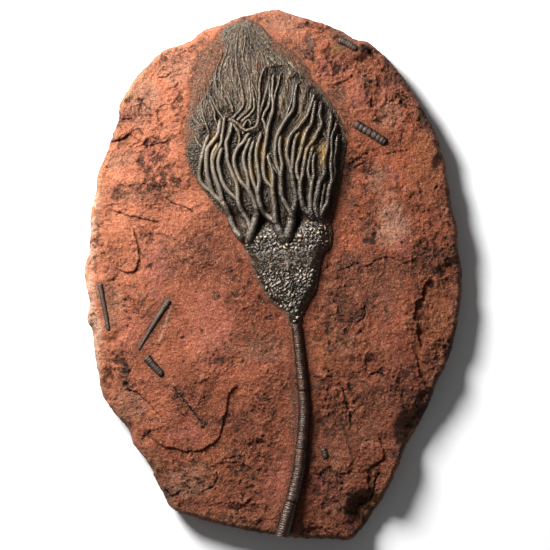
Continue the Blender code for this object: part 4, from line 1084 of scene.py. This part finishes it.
def stone_masks(points, inside, clear, fine, marks, rough):
    """Where the stone's colours lie and how rough it is, as point attributes."""
    x, y = drawn(points)
    patchy = layered(points, 0.055, 101, 4)
    small = layered(points, 0.014, 111, 4, 0.65)
    broken = layered(points, 0.0055, 117, 3, 0.7)
    masks = {kind: np.zeros(len(points)) for kind in STAINS}

    def stain(kind, amount):
        masks[kind] = np.maximum(masks[kind], amount)

    for kind, patches in PATCHES.items():
        for strength, cx, cy, rx, ry in patches:
            away = np.hypot((x - cx) / rx, (y - cy) / ry) + 0.35 * small
            stain(kind, strength * (1 - smooth((away - 0.55) / 0.7)))
    for kind, strength, half, line in TRACES:
        away = np.abs(line_distance(points, plan(line))) / (half * MM) + 0.35 * small
        stain(kind, strength * (1 - smooth((away - 0.7) / 0.5)))
    for kind, least in (("silt", 0.1), ("brown", 0.55), ("soot", 0.1)):
        masks[kind] *= least + (1 - least) * smooth(0.60 + 0.9 * broken)

    masks["rough"] = rough
    within = smooth((x - 80) / 50)
    # Orange and deep red grow towards the lower right: partly the stone's own colour, partly painted shade
    # standing for the lamp's falloff away from the upper left.
    masks["warm"] = smooth(-0.10 + (x - 130) / 260 + (y - 90) / 420 + 0.25 * patchy) * within
    masks["deep"] = smooth((y - 150) / 300 + (x - 300) / 520 + 0.25 * patchy) * 0.74 * within
    for strength, swing, spots in DEEP_SPOTS:
        stain("deep", strength * spots_at(points, spots) + swing * small)
    rim = 1 - smooth((inside - 0.001) / 0.016 + 0.45 * small)
    stain("brown", 0.65 * rim * smooth((x - 180) / 160 + (y - 250) / 260))
    stain("brown", (1 - smooth(clear / 0.006 + 0.6 * small)) * 0.4)
    stain("ochre", 0.4 * rim * (1 - smooth((x - 120) / 90)) * smooth(0.5 + patchy))
    left = 1 - smooth((x - 88) / 20)
    stain("cream", rim * left * smooth(0.65 + 1.2 * small) * smooth((y - 150) / 60))
    stain("soot", smooth(-marks / 0.0010) * 0.9)
    # Painted shade in the small hollows of the fine relief, and painted highlight on its raised grains.
    masks["painted_shade_hollow"] = smooth(-fine / 0.0009 - 0.15) * 0.85
    masks["crest"] = smooth(fine / 0.0010 - 0.20) * 0.75
    return masks


def slab_points(ring):
    """Plan points for the face: sparse under the fossils, close along ledges and cracks."""
    usual = spread(FACE_SPACING, ring, FACE_SPACING * 0.6)
    usual = usual[fossil_distance(usual) > -FOOTPRINT_EDGE]
    coarse = spread(COARSE_SPACING, ring, COARSE_SPACING * 0.6)
    coarse = coarse[fossil_distance(coarse) < -0.005]
    edges = [through(plan(line), 0.006) for *_, line in LEDGES + STEPS + CRACKS]
    usual = usual[~near_lines(usual, edges, FINE_REACH)]
    fine = spread(FINE_SPACING, ring, FINE_SPACING)
    fine = fine[near_lines(fine, edges, FINE_REACH)]
    return np.vstack([coarse, usual, fine[fossil_distance(fine) > -FOOTPRINT_EDGE]])


def side_rows(ring, edge_height):
    """The broken side, row by row from the arris down to the flat back."""
    run = np.arange(len(ring)) * FACE_SPACING
    rows = []
    for k in range(1, SIDE_ROWS + 1):
        t = k / SIDE_ROWS
        level = edge_height * (1 - t)
        where = np.column_stack([run, level * 1.6])
        dent = 0.0016 * (1 + plates(where, 0.019, 121)) * math.sin(math.pi * min(1.0, t * 1.05)) * (t > 0.2)
        beds = 0.0006 * lumps(where, (0.05, 0.0035), 131) + 0.0004 * layered(where, 0.006, 133, 3)
        inset = np.maximum(np.interp(t, SIDE_SHARES, SIDE_INSETS) + dent + beds * (t < 1), 0.0)
        rows.append(np.column_stack([moved_in(ring, inset), level]))
    return rows


def around(values, reach):
    """A ring's values, each averaged with those up to this many places away on both sides."""
    padded = np.concatenate([values[-reach:], values, values[:reach]])
    return np.convolve(padded, np.ones(2 * reach + 1) / (2 * reach + 1), "valid")


def mottled(row, seed):
    """How the stains come and go along one row of the side: mostly from 0 to 2."""
    run = np.arange(len(row)) * FACE_SPACING
    return np.maximum(1 + 1.3 * layered(np.column_stack([run, row[:, 2] * 1.8]), 0.013, seed, 3), 0)


def make_slab():
    """The stone with its broken face, sides and flat back."""
    ring = slab_outline()
    flat, triangles = triangulated(ring, slab_points(ring))
    count = len(ring)
    inside = ring_distance(flat, ring[::2])
    clear = fossil_distance(flat)
    fine, rough = fine_height(flat, clear)
    marks = stone_marks(flat)
    height = BED + broad_height(flat, inside, clear) + (fine + marks) * smooth((clear + 0.004) / 0.004)
    top = np.column_stack([flat, height])
    top[:count, :2] = moved_in(flat[:count], ARRIS_INSET)
    rows = side_rows(flat[:count], height[:count])
    faces = [triangles]
    upper = np.arange(count)
    for k in range(SIDE_ROWS):
        lower = len(top) + k * count + np.arange(count)
        faces.append(wall(upper, lower))
        upper = lower
    faces.append(upper[None, ::-1])
    values = {}
    masks = stone_masks(flat, inside, clear, fine, marks, rough)
    for number, (key, value) in enumerate(masks.items()):
        rim = around(value[:count], SIDE_BLUR)
        values[key] = np.concatenate([value] + [rim * mottled(row, 300 + 10 * number) for row in rows])
    values["painted_shade_hollow"][len(top):] *= 0.3
    made = new_object("limestone_slab", np.vstack([top] + rows), faces, values)
    placed(made, stone_material(), "matrix_slab")


# ---------------------------------------------------------------- the crown's arms

def ground(points):
    """Height of the crown's surface, or of the bed round it."""
    covered = np.maximum(ring_distance(points, MAT_RING), ring_distance(points, CALYX_RING)) > 0
    return BED + np.where(covered, crown_height(points), 0.0)


def gold_at(points):
    """How strongly the fossil is stained ochre here."""
    return 0.08 + 0.92 * spots_at(points, GOLD_SPOTS)


def rust_at(points):
    """Where brown stone still coats the mat: outside its dark outline, and in one red spot."""
    ragged = warped(warped(points, 0.013, 0.0036, 301), 0.004, 0.0020, 303)
    outside = 1 - smooth((ring_distance(ragged, plan(DARK_OUTLINE)) + 0.0015) / 0.005)
    return np.maximum(outside, spots_at(points, RED_SPOTS))


def rooted(route, trunks):
    """The route begun a little way back inside the trunk that it forks from."""
    start = np.array(route[0], float)
    for trunk in trunks:
        line = through(np.array(trunk, float), 1.5)
        away = np.linalg.norm(line - start, axis=1)
        nearest = int(away.argmin())
        if away[nearest] < 2.6 and nearest > 4:
            return [tuple(line[nearest - 4]), tuple(line[nearest - 2])] + list(route[1:])
    return route


def branch_tube(route, root, tip, extra, lift=0.55):
    """One arm branch: its path in space and its radii, swollen a little at each joint, sunk at both ends."""
    line = through(plan(route), ARM_STEP)
    share = np.linspace(0, 1, len(line))
    run = share * (len(line) - 1) * ARM_STEP
    radius = (root + (tip - root) * share) * MM
    joints = (0.10 if root < TRUNK_RADIUS else 0.04) * np.sin(run / ARM_JOINT * 2 * math.pi)
    joints = joints + 0.10 * lumps(line, 0.006, 141)
    height = np.convolve(np.pad(ground(line), 4, "edge"), np.ones(9) / 9, "valid")
    left = (len(line) - 1) * ARM_STEP - run
    end = smooth(left / 0.005 + 0.15)
    start = smooth(run / 0.004 + 0.2)
    upper = 1 - smooth((drawn(line)[1] - 55) / 65)
    height += (lift - 0.35 * upper) * radius + extra * (1 - 0.7 * upper) * MM
    height -= ((1 - end) * 0.9 + (1 - start) * 0.5 + 1.5 * spots_at(line, BURIED)) * radius
    path = np.column_stack([line, np.minimum(height, TOP - radius * 1.15)])
    return path, radius * (1 + joints) * (0.30 + 0.70 * end) * (1 - 0.35 * upper)


def pinnules(path, radius, rng):
    """Fine beaded side branches along both sides of an arm, lying back on the mat."""
    step = max(1, round(PINNULE_SPACING / ARM_STEP))
    along = unit(np.gradient(path[:, :2], axis=0))
    right = rightward(along)
    t = np.linspace(0, 1, PINNULE_STEPS)[:, None]
    paths, thick = [], []
    for side in (-1, 1):
        for i in range(step, len(path) - 3, step):
            lean = math.radians(rng.uniform(22, 48))
            length = PINNULE_LENGTH * rng.uniform(0.5, 1.15)
            heading = math.cos(lean) * along[i] + side * math.sin(lean) * right[i]
            start = path[i, :2] + side * right[i] * radius[i] * 0.5
            paths.append(start + heading * length * t + along[i] * t ** 2 * length * 0.3)
            beads = 1 + 0.35 * rng.uniform(-1, 1, PINNULE_STEPS)
            thick.append(rng.uniform(0.34, 0.54) * MM * (1 - 0.4 * t[:, 0]) * beads)
    return np.array(paths), np.array(thick)


def add_pinnules(pile, path, radius, rng):
    """The pinnules of one branch, rooted in it and sinking to the mat at their tips."""
    flats, thick = pinnules(path, radius, rng)
    heights = ground(flats.reshape(-1, 2)).reshape(flats.shape[:2]) - GAP_DEPTH
    rise = np.linspace(1, 0, PINNULE_STEPS) ** 2 * 0.0014
    paths = np.dstack([flats, heights + 0.0004 + rise + thick * 0.6])
    points, faces, crest = tubes(paths, thick, PINNULE_SIDES)
    tone = np.repeat(rng.uniform(-0.9, 0.6, len(paths)), PINNULE_STEPS * PINNULE_SIDES)
    # Painted highlight on the pinnules' tops and painted shade underneath, with a random tone.
    pile.add(points, faces, crest=crest * 0.35 + tone, gold=gold_at(points[:, :2]), granular=0.6)


def make_arm(name, branches, look):
    """One arm with its forks and the pinnules along them. Painted shade darkens it towards the crown's right
    side, away from the lamp, and painted highlight lies on its tops and on a few spots.
    """
    rng = np.random.default_rng(sum(map(ord, name)))
    pile = Pile()
    trunks = []
    for root, tip, extra, route in branches:
        trunk = root >= TRUNK_RADIUS
        path, radius = branch_tube(rooted(route, trunks), root, tip, extra)
        trunks.append(route)
        points, faces, crest = tubes(path[None], radius[None], ARM_SIDES)
        where = points[:, :2]
        groove = np.sin(np.arange(len(path)) * ARM_STEP / ARM_JOINT * 2 * math.pi)
        shade = 0.35 * layered(where, 0.004, 151, 2)
        shade = shade + (0.10 if trunk else 0.30) * np.repeat(groove, ARM_SIDES)
        # Painted highlight on a few spots of the left arms, and painted shade growing towards the crown's
        # right side.
        shade = shade + 1.5 * spots_at(where, PAINTED_HIGHLIGHT_SPOTS) - points[:, 0] / MM / 110
        # The crest paints the tops lit and the undersides shaded; the trunks are darker.
        worn = crest * 1.4 - 0.45 + shade - (0.35 if trunk else 0.0)
        pile.add(points, faces, crest=worn, gold=gold_at(where) * 0.35, granular=0.12)
        if not trunk:
            add_pinnules(pile, path, radius, rng)
    placed(pile.build(name + "_grown"), look, name)


# ---------------------------------------------------------------- the crown's mat

def flow_samples():
    """Points along every arm with the direction in which it runs, to comb the fine strands by. At the top,
    where there are no arms, they run up between the mat's edges."""
    branches = [b for tree in ARMS.values() for b in tree] + UPPER_ARMS
    lines = [through(plan(route), 0.003) for *_, route in branches]
    downs = np.array([100, 85, 70, 55, 42, 30, 24])
    left, right = np.interp(downs, *MAT_LEFT), np.interp(downs, *MAT_RIGHT)
    for share in np.linspace(0.03, 0.97, 12):
        across = (1 - share) * left + share * right
        lines.append(through(plan(np.column_stack([across, downs])), 0.004))
    return np.vstack(lines), np.vstack([unit(np.gradient(line, axis=0)) for line in lines])


def heading_at(points, places, headings, reach=0.007):
    """The direction of growth at each point, blended from the arms near it, some points at a time."""
    batch = 4000
    result = np.zeros((len(points), 2))
    for start in range(0, len(points), batch):
        part = points[start:start + batch]
        away = ((part[:, None, :] - places[None]) ** 2).sum(-1)
        weight = np.exp(-away / reach ** 2) + 1e-9 / (away + 1e-6)
        result[start:start + batch] = weight @ headings
    return unit(result)


def strand_paths(seeds, sway):
    """Strands that run with the arms near them from each seed."""
    places, headings = flow_samples()
    paths = [seeds]
    for k in range(STRAND_STEPS - 1):
        heading = heading_at(paths[-1], places, headings)
        turn = sway + 0.15 * np.sin(k * 0.6 + 40 * sway)
        c, s = np.cos(turn), np.sin(turn)
        x, y = heading.T
        paths.append(paths[-1] + np.column_stack([x * c - y * s, x * s + y * c]) * STRAND_STEP)
    return np.stack(paths, axis=1)


def arm_nearness(points):
    """1 in the narrow gaps beside the arms, fading to 0 well away from them."""
    lines = [through(plan(route), LINE_STEP) for tree in ARMS.values() for *_, route in tree]
    away = np.min([np.abs(line_distance(points, line)) for line in lines], axis=0)
    return 1 - smooth((away - 0.004) / 0.006)


def combed(points):
    """Fine ridges and grooves that run up the mat with its strands, from about -1 to 1."""
    across, down = drawn(points)
    left, right = np.interp(down, *MAT_LEFT), np.interp(down, *MAT_RIGHT)
    share = (across - left) / (right - left)
    stretched = np.column_stack([share * 0.100, down * 0.10 * MM])
    return layered(warped(stretched, 0.008, 0.0006, 185), 0.0028, 187, 2)


def mat_surface(points):
    """Height of the mat itself: below the crown's back where the arms lie on it, and thin at its edge."""
    inside = ring_distance(points, MAT_RING)
    sunk = GAP_DEPTH * arm_nearness(points) * smooth(inside / 0.006)
    thin = 0.0010 * (1 - smooth(inside / 0.004))
    return BED + np.maximum(crown_height(points) - sunk - thin, 0.0002)


def add_crust(pile, ring):
    """The mat's crust: combed at the top and grained between the arms, with painted shade beside the arms
    and in the hollows between the rays.
    """
    sparse, dense = (spread(spacing, ring, 0.0009) for spacing in (MAT_SPACING, FINE_MAT_SPACING))
    low = plan((0, GRAIN_START))[0, 1]
    inner = np.vstack([sparse[sparse[:, 1] > low], dense[dense[:, 1] <= low]])
    flat, triangles = triangulated(ring, inner)
    near_cell, next_cell, number, _ = cells(warped(flat, 0.004, 0.0008, 175), 0.0027, 177)
    granule = np.clip((next_cell - near_cell) / 0.85, 0, 1) * (0.4 + 0.8 * number)
    granular = smooth((drawn(flat)[1] - 100) / 30)
    fibres = combed(flat) * (1 - 0.7 * granular)
    crust = 0.0007 * fibres + 0.0003 * layered(flat, 0.003, 171, 2) + 0.0012 * granular * (granule - 0.4)
    height = mat_surface(flat) + crust * smooth(ring_distance(flat, MAT_RING) / 0.003)
    points, faces = closed_under(flat, height, ring, triangles)
    where = points[:, :2]
    down = drawn(where)[1]
    under = np.zeros(len(ring))
    painted_shade_hollows = spots_at(where, [(x, y, r * 1.1, r * 1.1) for x, y, r, _ in RAY_GAPS])
    # Painted shade beside the arms and in the hollows between the rays.
    grey = 0.10 + 0.25 * layered(where, 0.004, 181, 3) - 0.50 * arm_nearness(where) - 1.2 * painted_shade_hollows
    grey = grey + 0.55 * np.concatenate([fibres, under]) - 0.10 * smooth((down - 72) / 20)
    grain = np.concatenate([granular * (1.9 * granule * number - 0.40), under])
    speckle = 0.20 + 0.80 * smooth((down - 100) / 30)
    pile.add(points, faces, crest=grey + grain, gold=gold_at(where), rust=rust_at(where), granular=speckle)


def add_strands(pile, paths, rng):
    """Beaded strands lying half sunk in the mat."""
    count, steps = paths.shape[:2]
    if count == 0:
        return
    bulge = 0.25 + 0.75 * np.sin(math.pi * (0.08 + 0.84 * np.linspace(0, 1, steps)))
    beads = rng.uniform(0.70, 1.30, (count, steps))
    calm = 0.50 + 0.50 * smooth((drawn(paths)[1] - 25) / 60)
    thick = STRAND_THICKNESS * rng.uniform(0.5, 1.2, (count, 1)) * bulge * beads * calm
    surface = mat_surface(paths.reshape(-1, 2)).reshape(count, steps)
    raised = surface + rng.uniform(-0.0004, 0.0004, (count, 1)) * calm
    points, faces, crest = tubes(np.dstack([paths, raised]), thick, STRAND_SIDES)
    where = points[:, :2]
    tone = np.repeat(rng.normal(0, 0.35, count) * calm.mean(1), steps * STRAND_SIDES)
    # Painted highlight on the strands' tops, painted shade underneath and beside the arms.
    worn = 0.12 + crest * 0.4 + tone - 0.55 * arm_nearness(where)
    pile.add(points, faces, crest=worn, gold=gold_at(where), rust=rust_at(where), granular=0.30)


def comb_strands(pile, ring, rng):
    """Several hundred strands over the dark part of the mat's top, each ending at the mat's edge."""
    seeds = spread(STRAND_SPACING, ring, 0.002)
    seeds = seeds[drawn(seeds)[1] < STRANDS_END]
    start = seeds + rng.normal(0, 0.0011, seeds.shape)
    start = start[rust_at(start) < 0.7]
    paths = strand_paths(start, rng.normal(0, 0.18, len(start)))
    outside = ring_distance(paths.reshape(-1, 2), MAT_RING).reshape(paths.shape[:2]) < 0.002
    length = np.where(outside.any(1), outside.argmax(1), STRAND_STEPS)
    for least, most in ((STRAND_STEPS, STRAND_STEPS), (8, STRAND_STEPS - 1), (5, 7)):
        group = (length >= least) & (length <= most)
        add_strands(pile, paths[group, :least], rng)


def add_fan(pile, first, last, length, rng):
    """A row of short fine strands, side by side like a comb's teeth."""
    count = round(np.linalg.norm(last - first) / FAN_SPACING)
    t = np.linspace(0, 1, PINNULE_STEPS)[:, None]
    paths = []
    for share in np.linspace(0, 1, count):
        turn = math.radians(rng.uniform(-62, -50))
        heading = np.array([math.cos(turn), math.sin(turn)])
        paths.append(first + share * (last - first) + heading * length * rng.uniform(0.7, 1.1) * t)
    paths = np.array(paths)
    thick = np.full(paths.shape[:2], FAN_THICKNESS) * (0.6 + 0.4 * np.sin(math.pi * t[:, 0]))
    heights = mat_surface(paths.reshape(-1, 2)).reshape(thick.shape) + 0.0004
    points, faces, crest = tubes(np.dstack([paths, heights]), thick, PINNULE_SIDES)
    tone = np.repeat(rng.uniform(-0.1, 0.5, count), PINNULE_STEPS * PINNULE_SIDES)
    # Painted highlight on the fine strands' tops and painted shade underneath, with a random tone.
    pile.add(points, faces, crest=crest * 0.5 + tone, gold=0.1, rust=0.0, granular=0.2)


def make_mat(look):
    """The feathery bed of the crown: its crust, the strands combed over it, thin arm ends and fans."""
    rng = np.random.default_rng(5)
    ring = through(plan(MAT_OUTLINE), MAT_RING_STEP, closed=True)
    ring = moved_in(ring, 0.0009 * layered(ring, 0.009, 161, 3))
    pile = Pile()
    add_crust(pile, ring)
    comb_strands(pile, ring, rng)
    for root, tip, extra, route in UPPER_ARMS:
        path, radius = branch_tube(route, root, tip, extra)
        points, faces, crest = tubes(path[None], radius[None], UPPER_ARM_SIDES)
        where = points[:, :2]
        # Painted highlight on the arm ends' tops and painted shade underneath.
        pile.add(points, faces, crest=crest * 0.7, gold=gold_at(where) * 0.5, rust=rust_at(where),
                 granular=0.3)
    for first, last, length in FANS:
        add_fan(pile, plan(first)[0], plan(last)[0], length * MM, rng)
    placed(pile.build("pinnule_mat_grown"), look, "pinnule_mat")


# ---------------------------------------------------------------- the calyx

def calyx_skin(points, ring):
    """How much brown stone still covers the calyx: along its lower edge and on its right corner."""
    across, down = drawn(points)
    skin = smooth((0.0030 - ring_distance(points, ring)) / 0.0025 + 0.8 * lumps(points, 0.006, 225))
    skin = skin * smooth((down - 246) / 5)
    return 0.8 * np.maximum(skin, smooth((across - 325) / 4 + 0.9 * lumps(points, 0.004, 227)))


def make_calyx(look):
    """The cone of plates: a smooth band across it, knobs above and a net of small plates below. Its upper
    edge reaches under the arms."""
    under_arms = [(x, y - 4 if y < 243 else y) for x, y in CALYX_OUTLINE]
    ring = through(plan(under_arms), CALYX_RING_STEP, closed=True)
    flat, triangles = triangulated(ring, spread(CALYX_SPACING, ring, 0.0004))
    x, y = drawn(flat)
    band = smooth(2.2 - np.abs(y - BAND_ROW + 0.06 * (x - 285)) / 5.5)
    edge = smooth(ring_distance(flat, ring) / 0.003)
    shaken = warped(flat, 0.005, 0.0013, 191)
    slanted = np.column_stack([(shaken[:, 0] + shaken[:, 1]) / 1.7, shaken[:, 1] - shaken[:, 0]])
    knobs, net = cells(shaken, KNOB_SIZE, 201), cells(slanted / math.sqrt(2), NET_SIZE, 205)
    gap = np.where(y < NET_START, knobs[1] - knobs[0], net[1] - net[0])
    number = np.where(y < NET_START, knobs[2], net[2])
    knob = np.clip(gap / 0.85, 0, 1) * (0.55 + 0.9 * number)
    ridge = np.exp(-((x - 286 - 0.12 * (y - 250)) / 2.2) ** 2)
    ridge = ridge * smooth((y - 244) / 6) * smooth((296 - y) / 10)
    swell = 0.0003 * layered(flat, 0.004, 211, 3) + 0.0009 * ridge
    height = BED + crown_height(flat) + (0.0021 * knob - 0.0010) * (edge * (1 - band)) + swell * edge
    points, faces = closed_under(flat, np.minimum(height, TOP), ring, triangles)
    bumpy = smooth((gap - 0.10) / 0.45) * (0.35 + 1.3 * number) - 0.45
    smoother = -0.02 + 0.30 * layered(flat, 0.005, 221, 3) + 0.3 * ridge
    # Painted shade on the calyx's lower right.
    worn = bumpy * (1 - band) + smoother * band - 0.95 * spots_at(flat, CALYX_PAINTED_SHADE)
    under = np.zeros(len(ring))
    made = new_object("calyx_plates", points, faces, {
        "crest": np.concatenate([worn, under]),
        "gold": 0.03,
        "rust": calyx_skin(points[:, :2], ring),
        "granular": np.concatenate([0.20 * (1 - band), under]),
    })
    placed(made, look, "calyx")


# ---------------------------------------------------------------- stems

def ringed_stem(node_name, route, start, end, pitch, look, breaks=(), swell=0.07, lift=0.45, rings=0.9):
    """A length of stem: a stack of joints, each with a groove between it and the next. start and end are its
    radii and pitch the length of a joint, in millimetres; swell, lift and rings are how far the joints bulge,
    how high the axis lies, as a share of the radius, and how dark the grooves are."""
    pitch = pitch * MM
    step = min(0.0005, pitch / 6)
    line = through(plan(route), step)
    share = np.linspace(0, 1, len(line))
    run = share * (len(line) - 1) * step
    phase = run / pitch + 0.35 * lumps(line, 0.014, 235)
    bulge = 1 - (np.abs(phase - np.floor(phase) - 0.5) * 2) ** 4
    big = 0.5 + 0.5 * np.cos(np.floor(phase) * math.pi)
    plain = (start + (end - start) * share) * MM
    radius = plain * (1 + swell * (bulge - 0.6) + 0.015 * big + 0.03 * lumps(line, 0.012, 231))
    for crack in breaks:
        radius -= 0.0012 * np.exp(-((drawn(line)[1] - crack) / 0.8) ** 2)
    radius *= 0.75 + 0.25 * smooth(np.minimum(share, 1 - share) * len(line) / 4 + 0.25)
    path = np.column_stack([line, BED + lift * plain])
    points, faces, crest = tubes(path[None], radius[None], STEM_SIDES)
    unrolled = np.column_stack([points[:, 1], points[:, 0] + points[:, 2]])
    grain = 1 + 0.035 * layered(unrolled, 0.0035, 241, 3)
    centre = np.repeat(path, STEM_SIDES, axis=0)
    points = centre + (points - centre) * grain[:, None]
    tone = 0.35 * layered(points[:, :2], 0.010, 251, 3)
    # Painted shade on each length's right side, away from the lamp, and painted highlight on its top from the
    # crest; the rings and tone are its own.
    painted_shade_right = 0.6 * smooth((points[:, 0] - centre[:, 0]) / (start * MM) / 0.7)  # along the right side
    worn = -0.50 + 1.15 * crest + rings * (np.repeat(bulge, STEM_SIDES) - 0.8) + tone - painted_shade_right
    made = new_object(node_name + "_rings", points, faces, {"crest": worn, "gold": 0.0, "granular": 0.10})
    placed(made, look, node_name)


# ---------------------------------------------------------------- floor, lights, camera

def make_stage():
    """A pale floor under the slab."""
    bpy.ops.mesh.primitive_plane_add(size=FLOOR_SIZE, location=(0, 0, FLOOR_LEVEL))
    floor = bpy.context.object
    floor.name = "floor"
    made, _, shader = shader_tree("pale_floor", 0.9, 0.1)
    shader.inputs["Base Color"].default_value = (*FLOOR_WHITE, 1)
    floor.data.materials.append(made)


def make_lights():
    """One soft lamp at the upper left, and a dim white room."""
    world = bpy.data.worlds.new("soft_room")
    world.use_nodes = True
    background = world.node_tree.nodes["Background"]
    background.inputs["Color"].default_value = (1, 1, 1, 1)
    background.inputs["Strength"].default_value = ROOM_STRENGTH
    bpy.context.scene.world = world
    azimuth, height = math.radians(KEY_AZIMUTH), math.radians(KEY_HEIGHT)
    level = math.cos(height)
    towards = Vector((math.cos(azimuth) * level, math.sin(azimuth) * level, math.sin(height)))
    data = bpy.data.lights.new("key", "AREA")
    data.shape = "DISK"
    data.size = KEY_SIZE
    data.energy = KEY_WATTS
    made = bpy.data.objects.new("key", data)
    made.location = Vector((0, 0, BED)) + towards * KEY_DISTANCE
    made.rotation_euler = (-towards).to_track_quat("-Z", "Y").to_euler()
    bpy.context.scene.collection.objects.link(made)


def make_camera():
    """A long lens straight above the face."""
    data = bpy.data.cameras.new("camera")
    data.sensor_width = SENSOR
    data.lens = SENSOR * CAMERA_DISTANCE / VIEW_WIDTH
    data.clip_end = 20
    made = bpy.data.objects.new("camera", data)
    made.location = (CAMERA_ACROSS, 0.0, CAMERA_DISTANCE + BED)
    bpy.context.scene.collection.objects.link(made)
    bpy.context.scene.camera = made


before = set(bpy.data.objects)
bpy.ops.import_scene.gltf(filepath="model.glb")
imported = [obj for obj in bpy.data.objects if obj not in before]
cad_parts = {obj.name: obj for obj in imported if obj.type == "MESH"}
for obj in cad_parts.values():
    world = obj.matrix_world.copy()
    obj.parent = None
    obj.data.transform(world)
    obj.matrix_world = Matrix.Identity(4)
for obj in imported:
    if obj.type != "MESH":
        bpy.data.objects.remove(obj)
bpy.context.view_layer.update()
bpy.context.scene.view_settings.view_transform = "Standard"

make_slab()
looks = {kind: fossil_material(kind + "_calcite", **settings) for kind, settings in LOOKS.items()}
make_mat(looks["mat"])
for name, branches in ARMS.items():
    make_arm(name, branches, looks["arm"])
make_calyx(looks["calyx"])
ringed_stem("stem", STEM_ROUTE, *STEM_RADII, STEM_PITCH, looks["stem"], STEM_BREAKS)
for name, start, end, pitch, route in FRAGMENTS:
    ringed_stem(name, route, start, end, pitch, looks["fragment"], swell=0.14, lift=FRAGMENT_LIFT, rings=1.5)
make_stage()
make_lights()
make_camera()
